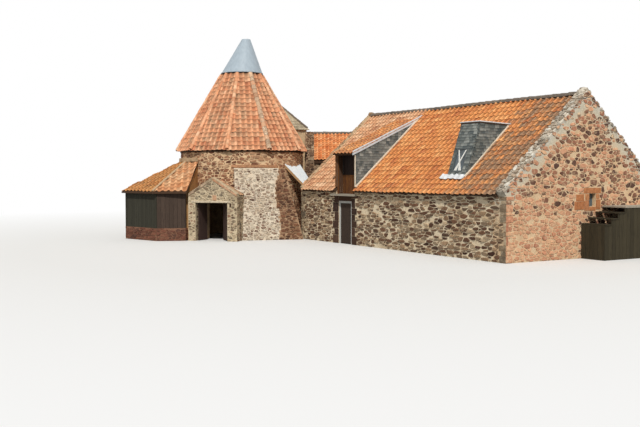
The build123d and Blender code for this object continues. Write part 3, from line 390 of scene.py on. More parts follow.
RIDGE = tile_look(
    "ridge", (112, 100, 90), (98, 88, 80), (128, 112, 98), (88, 80, 74),
    old=((108, 98, 86), (92, 84, 76), (126, 116, 100)),
)
HIPS = tile_look(
    "hip_tiles", (224, 160, 118), (208, 146, 108), (234, 178, 138), (194, 130, 94), (238, 192, 154),
    old=((200, 166, 132), (176, 146, 116), (222, 196, 164)),
)
HIP_GREY = tile_look(
    "hip_grey", (214, 164, 128), (184, 156, 128), (228, 190, 156), (150, 126, 104), (220, 154, 112),
    old=((206, 176, 146), (158, 134, 112), (226, 204, 176)),
)
BATTEN = wood_look("batten", (60, 44, 34), (84, 62, 46), (48, 36, 28), grain=(1.6, 28, 28))
TARRED = wood_look("tarred", (60, 50, 44), (80, 66, 57), (44, 37, 33))
TARRED_GREEN = wood_look("tarred_green", (48, 46, 38), (62, 60, 50), (34, 34, 29))
BLACK_WOOD = wood_look("black_wood", (52, 47, 36), (70, 63, 47), (34, 32, 25))
PORCH_WOOD = wood_look("porch_wood", (68, 52, 48), (88, 68, 60), (50, 38, 37))
BROWN_WOOD = wood_look("brown_wood", (116, 68, 28), (76, 44, 34), (130, 84, 40), (64, 38, 32), (100, 62, 30))
DARK_WOOD = wood_look("dark_wood", (70, 48, 34), (88, 62, 44), (52, 36, 27))
# Near-black boards, a painted shade.
PAINTED_SHADE_WOOD = wood_look("shade_wood", (34, 26, 24), (44, 33, 28), (26, 21, 20))
GREY_WOOD = wood_look("grey_wood", (172, 162, 146), (194, 184, 166), (142, 132, 118), grain=(1.6, 28, 28))
SLATE_PAINT = wood_look("slate_paint", (84, 92, 94), (104, 110, 110), (66, 72, 76))
PAINTED = wood_look("painted", (222, 222, 216), (236, 236, 230), (190, 188, 180))
BEAM_WOOD = wood_look("beam_wood", (184, 144, 102), (204, 164, 120), (150, 112, 78), grain=(2, 24, 24))
SLATE = slate_look(
    "slate", (102, 110, 109), (138, 142, 138), (86, 95, 96), (168, 171, 165), (114, 120, 116), (78, 87, 89),
    (128, 133, 128),
)
OLIVE = slate_look(
    "olive_slate", (176, 160, 132), (192, 176, 148), (160, 146, 120), (200, 184, 156), lichen=(204, 190, 162),
)
COWL = sheet_look("cowl_sheet", (170, 184, 194), (158, 172, 183), 0.5)
CANOPY = sheet_look("canopy_sheet_metal", (238, 246, 248), (226, 236, 240), 0.45)
LEAD = sheet_look("lead_sheet", (216, 224, 228), (188, 198, 205), 0.55)
WHITE_LEAD = sheet_look("white_lead", (232, 234, 236), (206, 208, 210), 0.6)
GLASS = plain_look(
    "window_glass", (2.5, 3, 0.5), (0.35, (38, 46, 50)), (0.65, (84, 98, 106)), (3, 2, 0.4), 0.05, 0.004,
    rough=0.12, specular=0.6,
)
IRON = plain_look(
    "iron", (20, 5, 0.6), (0.4, (42, 36, 34)), (0.7, (84, 56, 42)), (60, 4, 0.6), 0.3, 0.003,
    rough=0.7, metallic=0.6, specular=0.3,
)


def dress(material, names):
    """Gives CAD nodes a look."""
    for name in names.split():
        slots = nodes[name].data.materials
        if not slots:
            slots.append(material)
        for i in range(len(slots)):
            slots[i] = material


# ---------------------------------------------------------------- mesh tools


def put(name, data):
    thing = bpy.data.objects.new(name, data)
    bpy.context.scene.collection.objects.link(thing)
    return thing


class Pile:
    """Many small solids that become one joined mesh; a face is its corners, tint, age and slot."""

    def __init__(self):
        self.points, self.deeps, self.faces = [], [], []

    def add(self, points, faces, tint=0.5, age=0.0, slot=0, deep=None):
        base = len(self.points)
        self.points += np.asarray(points, float).tolist()
        self.deeps += deep or [0.0] * len(points)
        self.faces += [([i + base for i in face], tint, age, slot) for face in faces]

    def absorb(self, other):
        base = len(self.points)
        self.points += other.points
        self.deeps += other.deeps
        self.faces += [([i + base for i in face], *values) for face, *values in other.faces]

    def mesh(self, name):
        mesh = bpy.data.meshes.new(name)
        mesh.from_pydata(self.points, [], [face for face, *_ in self.faces])
        return mesh

    def trim(self, edges):
        """Cuts by plumb planes through plan edges, and keeps what lies on each edge's left."""
        mesh = self.mesh("trimmed")
        bm = bmesh.new()
        bm.from_mesh(mesh)
        layers = [bm.faces.layers.float.new(name) for name in ("tint", "age", "slot")]
        deep = bm.verts.layers.float.new("deep")
        for face, (_, *values) in zip(bm.faces, self.faces):
            for layer, value in zip(layers, values):
                face[layer] = value
        for vert, value in zip(bm.verts, self.deeps):
            vert[deep] = value
        for p, q in edges:
            bmesh.ops.bisect_plane(
                bm, geom=bm.verts[:] + bm.edges[:] + bm.faces[:], plane_co=(p[0], p[1], 0),
                plane_no=(q[1] - p[1], p[0] - q[0], 0), clear_outer=True,
            )
        bm.verts.index_update()
        tint, age, slot = layers
        self.points, self.deeps = [v.co[:] for v in bm.verts], [v[deep] for v in bm.verts]
        self.faces = [([v.index for v in f.verts], f[tint], f[age], int(f[slot])) for f in bm.faces]
        bm.free()
        bpy.data.meshes.remove(mesh)

    def keep(self, wanted):
        """Drops the faces that have a point which isn't wanted."""
        good = [wanted(p) for p in self.points]
        self.faces = [face for face in self.faces if all(good[i] for i in face[0])]
        used = sorted({i for face, *_ in self.faces for i in face})
        index = {old: new for new, old in enumerate(used)}
        self.points, self.deeps = ([values[i] for i in used] for values in (self.points, self.deeps))
        self.faces = [([index[i] for i in face], *values) for face, *values in self.faces]

    def make(self, name, looks, replaces=None, body="building"):
        """Turns the pile into a piece within the CAD's box, and starts it afresh."""
        self.points = np.clip(self.points, *cad_box).tolist()
        mesh = self.mesh(name)
        tints, ages, slots = zip(*(values for _, *values in self.faces))
        for kind, values in (("tint", tints), ("age", ages), ("deep", self.deeps)):
            domain = "POINT" if kind == "deep" else "FACE"
            mesh.attributes.new(kind, "FLOAT", domain).data.foreach_set("value", values)
        for look in looks:
            mesh.materials.append(look)
        mesh.polygons.foreach_set("material_index", slots)
        mesh.update()
        piece = put(name, mesh)
        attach(piece, body)
        if replaces:
            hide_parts(replaces)
        self.__init__()


def unit(vector):
    vector = np.array(vector, float)
    return vector / np.linalg.norm(vector)


class Flat:
    """A plane with u across it, v up it and w out of it."""

    def __init__(self, origin, u, v):
        self.origin, self.u, v = np.array(origin, float), unit(u), np.array(v, float)
        self.v = unit(v - self.u * np.dot(v, self.u))
        self.w = np.cross(self.u, self.v)

    def __call__(self, p):
        p = np.asarray(p, float)
        return self.origin + p[:, :1] * self.u + p[:, 1:2] * self.v + p[:, 2:3] * self.w

    def flatten(self, points):
        """The (u, v) of points in space."""
        d = np.asarray(points, float) - self.origin
        return np.stack([d @ self.u, d @ self.v], 1)


def rectangle(u0, v0, u1, v1):
    return [(u0, v0), (u1, v0), (u1, v1), (u0, v1)]


def pairs(ring):
    """Each of a ring's items with the next."""
    return list(zip(ring, ring[1:] + ring[:1]))


def extent(points):
    """The smallest u and v and the largest u and v."""
    us, vs = zip(*points)
    return min(us), min(vs), max(us), max(vs)


def clip(outline, nx, ny, limit):
    """The part of an outline where x*nx + y*ny stays under a limit."""
    out = []
    for (ax, ay), (bx, by) in pairs(outline):
        da, db = ax * nx + ay * ny - limit, bx * nx + by * ny - limit
        if da <= 0:
            out.append((ax, ay))
        if (da < 0 < db) or (db < 0 < da):
            t = da / (da - db)
            out.append((ax + t * (bx - ax), ay + t * (by - ay)))
    return out


def area_of(outline):
    return 0.5 * sum(a[0] * b[1] - b[0] * a[1] for a, b in pairs(outline))


def anticlockwise(outline):
    return outline[::-1] if area_of(outline) < 0 else outline


def middle(outline):
    return (sum(p[0] for p in outline) / len(outline), sum(p[1] for p in outline) / len(outline))


def inset(outline, distance):
    """A convex outline with every edge moved inwards."""
    out = []
    for a, b, c in zip(outline[-1:] + outline[:-1], outline, outline[1:] + outline[:1]):
        d1, d2 = np.subtract(b, a), np.subtract(c, b)
        n1, n2 = (np.array((-d[1], d[0])) / (np.linalg.norm(d) + 1e-9) for d in (d1, d2))
        out.append(tuple(b + distance * (n1 + n2) / max(0.35, 1 + float(n1 @ n2))))
    return out


def tidy(outline, least=0.004):
    """Drops points that lie on the one before."""
    out = []
    for p in outline:
        if not out or math.dist(p, out[-1]) > least:
            out.append(p)
    while len(out) > 1 and math.dist(out[0], out[-1]) <= least:
        out.pop()
    return out


def soften(outline, share=0.13):
    """Cuts the corners of an outline once."""
    shares = (share, 1 - share)
    return [(a[0] + t * (b[0] - a[0]), a[1] + t * (b[1] - a[1])) for a, b in pairs(outline) for t in shares]


def inside(point, loops):
    x, y = point
    hit = False
    for loop in loops:
        for (ax, ay), (bx, by) in pairs(loop):
            if (ay > y) != (by > y) and x < ax + (y - ay) * (bx - ax) / (by - ay):
                hit = not hit
    return hit


def fit_in(outline, loops, gap):
    """An outline cut back to a wall's loops, or nothing where it lies outside them."""
    centre = middle(outline)
    if not inside(centre, loops):
        return []
    for a, b in (pair for loop in loops for pair in pairs(loop)):
        nx, ny = b[1] - a[1], a[0] - b[0]
        size = math.hypot(nx, ny)
        u0, v0, u1, v1 = extent(outline)
        apart = max(a[0], b[0]) < u0 - gap or min(a[0], b[0]) > u1 + gap
        if apart or max(a[1], b[1]) < v0 - gap or min(a[1], b[1]) > v1 + gap or size < 1e-6:
            continue
        nx, ny = nx / size, ny / size
        limit = a[0] * nx + a[1] * ny
        if centre[0] * nx + centre[1] * ny > limit:
            nx, ny, limit = -nx, -ny, -limit
        outline = clip(outline, nx, ny, limit - gap)
        if len(outline) < 3:
            return []
    return outline


def around_hole(outline, hole, gap=0.0):
    """Cuts an outline back from a rectangle of (u0, v0, u1, v1), to its largest part outside."""
    if not outline:
        return outline
    u0, v0, u1, v1 = hole[0] - gap, hole[1] - gap, hole[2] + gap, hole[3] + gap
    low_u, low_v, high_u, high_v = extent(outline)
    if high_u <= u0 or low_u >= u1 or high_v <= v0 or low_v >= v1:
        return outline
    parts = [clip(outline, *cut) for cut in ((1, 0, u0), (-1, 0, -u1), (0, 1, v0), (0, -1, -v1))]
    return max(parts, key=lambda part: abs(area_of(part)) if len(part) > 2 else 0)


def tube(n, rings, endless=False):
    """Faces between rings of n points, the last joined to the first too where it's endless."""
    faces = []
    for r in range(rings if endless else rings - 1):
        a, b = r * n, (r + 1) % rings * n
        faces += [(a + i, a + (i + 1) % n, b + (i + 1) % n, b + i) for i in range(n)]
    return faces


SUNK, ROUNDED = 0.03, 0.008


def stone(pile, surface, outline, height, tint, age, slot=0, tilt=(0.0, 0.0)):
    """One stone with a rounded edge, set into a wall, with its face a little askew."""
    n, (cu, cv) = len(outline), middle(outline)
    rings = [(u, v, -SUNK) for u, v in inset(outline, 0.0)]
    for u, v in inset(outline, ROUNDED):
        rings.append((u, v, max(-SUNK, height + tilt[0] * (u - cu) + tilt[1] * (v - cv))))
    rings.append((cu, cv, height * 1.12))
    faces = tube(n, 2) + [(n + i, n + (i + 1) % n, 2 * n) for i in range(n)] + [tuple(reversed(range(n)))]
    # Painted shade: full at the stone's sunk foot, a little on its rounded edge, none on its face.
    pile.add(surface(rings), faces, tint, age, slot, [1.0] * n + [0.15] * n + [0.0])


def slab(pile, surface, outline, low, high, tint=0.5, age=0.0, slot=0, edge=0.006):
    """A flat plate with a small bevel, between two heights over the surface."""
    outline = tidy(outline)
    if len(outline) < 3:
        return
    outline = anticlockwise(outline)
    n = len(outline)
    rings = [(u, v, w) for w in (low, high - edge) for u, v in outline]
    rings += [(u, v, high) for u, v in inset(outline, edge)]
    faces = tube(n, 3) + [tuple(range(2 * n, 3 * n)), tuple(reversed(range(n)))]
    pile.add(surface(rings), faces, tint, age, slot)


NEIGHBOURS = [(dj, di) for dj in range(-2, 3) for di in range(-2, 3) if dj or di]
LEAST_STONE = 0.12


def rubble(
    pile, surface, loops, wide=0.3, high=0.18, gap=0.01, proud=(0.008, 0.026), seed=1, tint=None,
    age=None, skip=None, slot=0, holes=(), askew=0.1,
):
    """Fills the loops of a wall with irregular stones, laid roughly in courses, clear of the holes."""
    rand = np.random.default_rng(seed)
    u0, v0, u1, v1 = extent([p for loop in loops for p in loop])
    nu, nv = math.ceil((u1 - u0) / wide) + 4, math.ceil((v1 - v0) / high) + 4
    u0, v0 = u0 - 1.5 * wide, v0 - 1.5 * high
    rows, cols = np.mgrid[:nv, :nu]
    px = cols + 0.5 * (rows % 2) + rand.uniform(-0.42, 0.42, (nv, nu))
    py = rows + rand.uniform(-0.3, 0.3, (nv, nu))
    weight = rand.uniform(-0.24, 0.24, (nv, nu))
    extra = rand.random((nv, nu, 6))
    for j, i in ((j, i) for j in range(1, nv - 1) for i in range(1, nu - 1)):
        x, y = px[j, i], py[j, i]
        cell = rectangle(x - 1.2, y - 1.2, x + 1.2, y + 1.2)
        for jj, ii in ((j + dj, i + di) for dj, di in NEIGHBOURS):
            if len(cell) < 3 or not (0 <= jj < nv and 0 <= ii < nu):
                continue
            nx, ny = px[jj, ii] - x, py[jj, ii] - y
            far = math.hypot(nx, ny)
            if far <= 2.3:
                nx, ny = nx / far, ny / far
                shift = gap / math.hypot(nx * wide, ny * high)
                limit = x * nx + y * ny + far / 2 + weight[j, i] - weight[jj, ii] - shift
                cell = clip(cell, nx, ny, limit)
        if len(cell) < 3:
            continue
        outline = fit_in([(u0 + cx * wide, v0 + cy * high) for cx, cy in cell], loops, gap * 0.6)
        for hole in holes:
            outline = around_hole(outline, hole, gap) if len(outline) > 2 else outline
        if len(outline) < 3:
            continue
        outline = tidy(soften(tidy(outline, 0.02)), 0.008)
        if len(outline) < 4 or area_of(outline) < LEAST_STONE * wide * high:
            continue
        a, b, c, d, e, f = extra[j, i]
        centre = middle(outline)
        if skip and skip(centre, a):
            continue
        stone(
            pile, surface, outline, proud[0] + d * (proud[1] - proud[0]), tint(centre, b) if tint else b,
            age(centre, c) if age else c, slot, (askew * (2 * e - 1), askew * (2 * f - 1)),
        )


def blocks(pile, surface, rectangles, proud=0.02, tint=(0.0, 1.0), age=(0.2, 0.8), gap=0.008, slot=0):
    """Dressed stones, each a rectangle of (u, v) corners."""
    for u0, v0, u1, v1 in rectangles:
        outline = rectangle(u0 + gap, v0 + gap, u1 - gap, v1 - gap)
        outline = [(u + draw.uniform(-0.006, 0.006), v + draw.uniform(-0.006, 0.006)) for u, v in outline]
        height = proud * draw.uniform(0.8, 1.2)
        stone(pile, surface, outline, height, draw.uniform(*tint), draw.uniform(*age), slot)


ROLL = np.array([
    (0.0, 0.62), (0.1, 0.28), (0.25, 0.04), (0.42, 0.0), (0.58, 0.22), (0.7, 0.66), (0.8, 0.94),
    (0.9, 1.0), (1.0, 0.86), (1.08, 0.55),
])
TILE_AMPLITUDE, TILE_THICK, TILE_BASE = 0.05, 0.013, -0.045
TILE_COVER, TILE_GAUGE, TILE_LAP = 0.27, 0.25, 0.07


def tile_faces():
    """Faces of one tile: three rings of points on top, two below."""
    n = len(ROLL)
    low, mid, high, under_low, under_high = (k * n for k in range(5))
    joins, faces = ((low, mid), (mid, high), (under_low, low), (high, under_high)), []
    for i in range(n - 1):
        quads = [(a + i, a + i + 1, b + i + 1, b + i) for a, b in joins]
        below = (under_low + i + 1, under_low + i, under_high + i, under_high + i + 1)
        faces += quads[:2] + [below] + quads[2:]
    faces.append((under_low, low, mid, high, under_high))
    return faces + [tuple(k + n - 1 for k in (low, under_low, under_high, high, mid))]


TILE_FACES, PAN = tile_faces(), 1 - ROLL[:, 1]
# Painted shade at each point of a tile: some in the pan at its foot, more further up, and full painted shadow
# where the next tile covers it.
TILE_PAINTED_SHADE = np.concatenate([0.5 * PAN, 0.3 + 0.55 * PAN, np.ones(3 * len(PAN))]).tolist()


def sag(u, v):
    """The slow waves of an old roof."""
    return 0.011 * np.sin(1.1 * u + 0.6) * np.sin(0.9 * v + 0.4) + 0.007 * np.sin(2.7 * u + 1.9 * v)


def pantiles(
    pile, surface, u_from, u_to, v_from, v_to, keep=None, age=None, seed=3, waves=1.0, slot=0,
    base=TILE_BASE, wide=TILE_COVER, gauge=TILE_GAUGE,
):
    """Rows of pantiles over a rectangle of a roof, each tile its own solid."""
    rand = random.Random(seed)
    cols = max(1, round((u_to - u_from) / wide))
    cover = (u_to - u_from) / cols
    for row, col in np.ndindex(math.ceil((v_to - v_from) / gauge), cols):
        u, v = u_from + col * cover, v_from + row * gauge
        length = min(gauge + TILE_LAP, v_to - v)
        jitter = [rand.random() for _ in range(7)]
        if length < 0.08 or (keep and not keep(u + cover / 2, v + length / 2)):
            continue
        us = u + ROLL[:, 0] * cover + 0.004 * (jitter[0] - 0.5)
        ws = TILE_AMPLITUDE * ROLL[:, 1] + base + 0.005 * jitter[1]
        low = v + 0.014 * (jitter[2] - 0.5) + 0.012 * math.sin(1.7 * u + 2.1 * row)
        lows = low + 0.02 * (jitter[3] - 0.5) * (us - us[0])
        lift, rings = 0.018 + 0.008 * jitter[4], []
        for share in (0.0, 0.5, 1.0):
            vs = lows + share * length
            rings.append(np.stack([us, vs, ws + lift - share * (lift + 0.002) + waves * sag(us, vs)], 1))
        under = np.array((0, 0, TILE_THICK))
        points = np.concatenate([*rings, rings[0] - under, rings[2] - under])
        worn = age(u, v, jitter[6]) if age else 0.3 * jitter[6]
        pile.add(surface(points), TILE_FACES, jitter[5], worn, slot, TILE_PAINTED_SHADE)


SLATE_LAP, SLATE_LIFT = 0.05, 0.012


def plates(pile, surface, region, wide, gauge, thick, holes=(), seed=5):
    """Slates in rows over a convex region of a roof or wall."""
    rand = random.Random(seed)
    u0, v, u1, v1 = extent(region)
    region, long, row = anticlockwise(region), gauge + SLATE_LAP, 0
    while v < v1:
        u = u0 - (0.5 * wide if row % 2 else 0) - rand.uniform(0, 0.2) * wide
        while u < u1:
            w, drop = wide * rand.uniform(0.82, 1.18), rand.uniform(-0.008, 0.008)
            cut = [(u, v + drop), (u + w - 0.004, v + drop), (u + w - 0.004, v + long), (u, v + long)]
            if not all(inside(p, [region]) for p in cut):
                cut = fit_in(cut, [region], 0.0)
            for hole in holes:
                cut = around_hole(cut, hole)
            cut = tidy(cut)
            if len(cut) >= 3 and abs(area_of(cut)) > 0.001:
                cut, n = anticlockwise(cut), len(cut)
                rise = SLATE_LIFT * rand.uniform(0.8, 1.3)
                top = [(*p, thick + rise * (1 - (p[1] - v) / long)) for p in cut]
                low = [(a, b, height - thick) for a, b, height in top]
                faces = [tuple(range(n)), tuple(reversed(range(n, 2 * n)))]
                faces += [(n + i, n + (i + 1) % n, (i + 1) % n, i) for i in range(n)]
                # Painted shade rising up each slate, to full under the next row.
                deep = [max(0.0, (p[1] - v - 0.35 * gauge) / gauge) for p in cut] + [1.0] * n
                pile.add(surface(top + low), faces, rand.random(), rand.random(), 0, deep)
            u += w
        v += gauge
        row += 1


BOARD, BOARD_GAP = 0.17, 0.006


def boards(pile, surface, region, low, high, wide=BOARD, slot=0, seed=9, tint=(0.2, 0.8)):
    """Upright boards side by side over a convex region."""
    rand = random.Random(seed)
    region = anticlockwise(region)
    u0, _, u1, _ = extent(region)
    count = max(1, round((u1 - u0) / wide))
    step = (u1 - u0) / count
    for i in range(count):
        strip = clip(region, -1, 0, -(u0 + i * step + BOARD_GAP / 2))
        strip = clip(strip, 1, 0, u0 + (i + 1) * step - BOARD_GAP / 2) if len(strip) > 2 else strip
        if len(strip) > 2:
            top = high + rand.uniform(-0.003, 0.003)
            slab(pile, surface, strip, low, top, rand.uniform(*tint), rand.random(), slot, edge=0.004)


def bar(pile, start, end, side, up, wide, high, tint=0.5, age=0.3, slot=0, segments=1, rough=0.0):
    """A bar with chamfered edges between two points; its section spreads along side and up."""
    start, end, side, up = np.array(start, float), np.array(end, float), unit(side), unit(up)
    half, edge = wide / 2, min(0.2 * wide, 0.2 * high, 0.01)
    section = [(-half, 0), (half, 0), (half, high - edge), (half - edge, high)]
    section += [(-half + edge, high), (-half, high - edge)]
    points, n = [], len(section)
    for s in range(segments + 1):
        centre = start + (end - start) * s / segments
        swell = 1 + rough * draw.uniform(-1, 1)
        points += [centre + side * a * swell + up * (b * swell) for a, b in section]
    ends = [tuple(reversed(range(n))), tuple(range(segments * n, segments * n + n))]
    pile.add(points, tube(n, segments + 1) + ends, tint, age, slot)


HALF_ROUND_THICK, HALF_ROUND_STEPS = 0.014, 6


def half_rounds(pile, start, end, up, radius, length, slot=0, age=(0.2, 0.9), seed=21, arc=165):
    """Half-round tiles end to end along a ridge or a hip, each lapping the one below."""
    rand = random.Random(seed)
    start, end, up = (np.array(v, float) for v in (start, end, up))
    along = unit(end - start)
    up = unit(up - along * np.dot(up, along))
    side, total = np.cross(along, up), np.linalg.norm(end - start)
    count, step = max(1, round(total / length)), HALF_ROUND_STEPS
    pace, m = total / count, step + 1
    for i in range(count):
        a = start + along * (i * pace - 0.02) + up * rand.uniform(-0.006, 0.008)
        a = a + side * rand.uniform(-0.008, 0.008)
        b = start + along * ((i + 1) * pace + 0.02) + up * rand.uniform(-0.006, 0.004)
        points, faces = [], []
        for where, r in ((a, radius * 1.07), (b, radius * 0.95)):
            for rr in (r, r - HALF_ROUND_THICK):
                for k in range(m):
                    t = math.radians(90 - arc / 2 + arc * k / step)
                    points.append(where + side * rr * math.cos(t) + up * rr * math.sin(t))
        for k in range(step):
            faces += [
                (k, k + 1, 2 * m + k + 1, 2 * m + k), (m + k + 1, m + k, 3 * m + k, 3 * m + k + 1),
                (m + k, m + k + 1, k + 1, k), (2 * m + k, 2 * m + k + 1, 3 * m + k + 1, 3 * m + k),
            ]
        faces += [(m, 0, 2 * m, 3 * m), (m - 1, 2 * m - 1, 4 * m - 1, 3 * m - 1)]
        pile.add(points, faces, rand.random(), rand.uniform(*age), slot)


STEEP = 0.55


def wall_faces(name, least=0.08):
    """The plane faces of a CAD node that stand up, each as (plane, loops, normal)."""
    bm = bmesh.new()
    bm.from_mesh(nodes[name].data)
    bmesh.ops.remove_doubles(bm, verts=bm.verts, dist=1e-5)
    bm.faces.ensure_lookup_table()
    seen, groups, result = set(), [], []
    for face in bm.faces:
        if face.index in seen or face.calc_area() < 1e-7:
            continue
        stack, group = [face], []
        seen.add(face.index)
        while stack:
            group.append(stack.pop())
            for other in (o for edge in group[-1].edges for o in edge.link_faces):
                if other.index not in seen and other.normal.dot(face.normal) > 0.9995:
                    seen.add(other.index)
                    stack.append(other)
        groups.append((face.normal.copy(), group))
    bm.verts.ensure_lookup_table()
    for normal, group in groups:
        if sum(f.calc_area() for f in group) < least or abs(normal.z) > STEEP:
            continue
        members, follow, loops = {f.index for f in group}, {}, []
        for f in group:
            for loop in f.loops:
                if not any(o.index in members for o in loop.edge.link_faces if o is not f):
                    follow[loop.vert.index] = loop.link_loop_next.vert.index
        while follow:
            spot, loop = next(iter(follow)), []
            while spot in follow:
                loop.append(spot)
                spot = follow.pop(spot)
            if len(loop) > 2:
                loops.append(loop)
        origin, plumb = bm.verts[loops[0][0]].co, abs(normal.z) < 1e-3
        plane = Flat((origin.x, origin.y, 0.0) if plumb else origin, Vector(UP).cross(normal), UP)
        if not plumb:
            plane.v = np.cross(np.array(normal), plane.u)
        plane.w = np.array(normal)
        flat = [[tuple(p) for p in plane.flatten([bm.verts[k].co[:] for k in loop])] for loop in loops]
        result.append((plane, flat, normal))
    bm.free()
    return result


def smooth_step(x, a, b):
    t = min(1.0, max(0.0, (x - a) / (b - a)))
    return t * t * (3 - 2 * t)


# ---------------------------------------------------------------- mill walls

for material, names in (
    (MORTAR_FRONT, "mill_front_wall_west mill_front_wall_east mill_back_wall mill_west_gable"),
    (DARK_WOOD, "mill_front_lintel"), (MORTAR_GABLE, "mill_east_gable"),
    (MORTAR_LINK_PAINTED_SHADE, "link_walls link_gable"), (BATTEN, "link_roof porch_roof"),
    (MORTAR_KILN, "kiln_wall_1 kiln_wall_2 kiln_wall_3 kiln_wall_4 kiln_wall_over_door kiln_door_jambs"),
    (MORTAR_BUTTRESS, "kiln_buttress"), (MORTAR_PLINTH, "lean_to_plinth"), (MORTAR_CHEEK, "lean_to_cheek"),
    (MORTAR_PORCH, "porch_left_wall porch_right_wall porch_gable"), (HARL, "rear_walls"),
    (GLASS, "gable_window slate_window"), (IRON, "cowl_spindle door_pintles"), (COWL, "kiln_cowl"),
    (BEAM_WOOD, "cowl_beam canopy_beams mill_loft_floor"), (PAINTED, "mill_door_frame"),
    (TARRED, "mill_door"), (PORCH_WOOD, "porch_door_left porch_door_right"), (CANOPY, "canopy_sheet"),
    (STRING, "kiln_string_course"), (SLATE, "loft_cheeks slate_dormer"), (OLIVE, "rear_roof"),
    (GREY_WOOD, "loft_sill platform_deck"), (BLACK_WOOD, "platform_boarding platform_steps"),
):
    dress(material, names)

PROUD, DOOR_TOP = 0.018, 1.99
LOFT, CHEEK, SLATED = (2.96, 4.30), 0.1, (9.55, 10.54)
LONG_REACH, SHORT_REACH = (0.24, 0.44), (0.1, 0.26)


def upright(x, back, u):
    return Flat(at(x, back, 0), u, UP)


def quoins(long_first):
    """Corner stones up a wall, as (height from, height to, reach along both faces)."""
    z, long, found = 0.0, long_first, []
    while z < WALL_TOP - 0.08:
        tall = min(draw.uniform(0.1, 0.3), WALL_TOP - z)
        spans = (LONG_REACH, SHORT_REACH) if long else (SHORT_REACH, LONG_REACH)
        reaches = [draw.uniform(*span) for span in spans]
        found.append((z, z + tall, reaches[0] if long_first else reaches[1]))
        z, long = z + tall, not long
    return found


corners = {name: quoins(name in ("sw", "ne")) for name in ("sw", "se", "ne", "nw")}


def corner_blocks(left, right, width):
    """Rectangles of the corner stones at a wall's left and right, seen from outside."""
    found = [(-PROUD, z0, reach, z1) for z0, z1, reach in corners[left]]
    return found + [(width - reach, z0, width + PROUD, z1) for z0, z1, reach in corners[right]]


def door_jambs():
    found = []
    for u0, u1, right in ((2.67, 3.11, False), (4.10, 4.47, True)):
        z, trim = 0.0, 0.0
        while z < 1.9:
            tall = min(draw.uniform(0.26, 0.4), DOOR_TOP - z)
            found.append((u0 + (0 if right else trim), z, u1 - (trim if right else 0), z + tall))
            z, trim = z + tall, 0.12 - trim
    return found


pile = Pile()
front, jambs, ends = upright(0, 0, (1, 0, 0)), door_jambs(), corner_blocks("sw", "se", LENGTH)
rubble(
    pile, front, [rectangle(0, 0, LENGTH, WALL_TOP)], wide=0.26, high=0.1, gap=0.017, seed=31,
    holes=ends + jambs + [(3.11, -0.01, 4.10, DOOR_TOP), (LOFT[0], DOOR_TOP, LOFT[1], 2.3)],
    proud=(0.01, 0.03), askew=0.14, skip=lambda c, chance: chance < 0.05,
)
blocks(pile, front, ends, PROUD, tint=(0.0, 0.45), slot=2)
blocks(pile, front, jambs, PROUD, age=(0.0, 0.3), gap=0.002, slot=1)
pile.make("mill_front_stones", [STONE_FRONT, STONE_DARK, STONE_PORCH])

# East gable, with dark stones more common high up and towards the right, and red ones low on the left
COPE = 0.06
gable_outline = [
    (0, 0), (DEPTH, 0), (DEPTH, roof_z(0) - 0.1), (DEPTH + 0.08, roof_z(-0.08) + COPE),
    (DEPTH / 2, APEX + COPE), (-0.08, roof_z(-0.08) + COPE), (0, roof_z(0) - 0.1),
]
surround = [
    (3.58, 1.62, 3.83, 1.98), (3.62, 1.98, 3.83, 2.21), (4.15, 1.66, 4.40, 2.02), (4.15, 2.02, 4.34, 2.21),
    (3.55, 2.21, 4.42, 2.42), (3.83, 1.62, 4.15, 1.77), (3.18, 1.95, 3.58, 2.2), (3.1, 1.66, 3.58, 1.95),
]
window = (3.83, 1.77, 4.15, 2.21)


def from_verge(centre):
    """Distance under the gable's sloping edges."""
    half = abs(centre[0] - DEPTH / 2)
    return (APEX + COPE - half * math.tan(PITCH) - centre[1]) * math.cos(PITCH)


def gable_tint(centre, chance):
    u, v = centre
    if v < 1.5 and u < 3.4:
        return 0.1 + 0.6 * chance
    dark = 0.32 + 0.32 * smooth_step(u, 1.5, 4.2) + 0.1 * smooth_step(v, 1.2, 3.0)
    return 0.66 + 0.34 * (chance / dark) if chance < dark else 0.66 * (chance - dark) / (1 - dark)


def gable_age(centre, chance):
    return min(1.0, chance + 0.7 * smooth_step(from_verge(centre), 0.7, 0.2))


def gable_skip(centre, chance):
    return chance < (0.4 if 0.1 < from_verge(centre) < 0.5 else 0.05)


east, ends = upright(LENGTH, 0, (0, 1, 0)), corner_blocks("se", "ne", DEPTH)
rubble(
    pile, east, [gable_outline], holes=ends + surround + [window], wide=0.19, high=0.115, gap=0.011,
    proud=(0.006, 0.02), seed=47, tint=gable_tint, age=gable_age, skip=gable_skip, askew=0.14,
)
blocks(pile, east, ends, PROUD, tint=(0.0, 0.9), age=(0.4, 1.0))
blocks(pile, east, surround, 0.012, tint=(0.1, 0.9), gap=0.004, slot=1)
pile.make("mill_gable_stones", [STONE_GABLE, SANDSTONE])

# Back wall and west gable
back_outline = rectangle(0, 0, LENGTH, WALL_TOP)
west_outline = [(0, 0), (DEPTH, 0), (DEPTH, WALL_TOP), (DEPTH / 2, APEX - 0.19), (0, WALL_TOP)]
for surface, loop, ends, high, gap, seed in (
    (upright(LENGTH, DEPTH, (-1, 0, 0)), back_outline, ("ne", "nw", LENGTH), 0.15, 0.011, 53),
    (upright(0, DEPTH, (0, -1, 0)), west_outline, ("nw", "sw", DEPTH), 0.16, 0.012, 59),
):
    ends = corner_blocks(*ends)
    rubble(pile, surface, [loop], holes=ends, high=high, gap=gap, seed=seed, proud=(0.01, 0.034), askew=0.2)
    blocks(pile, surface, ends, PROUD)
pile.make("mill_rear_stones", [STONE_FRONT])

# ---------------------------------------------------------------- mill roof

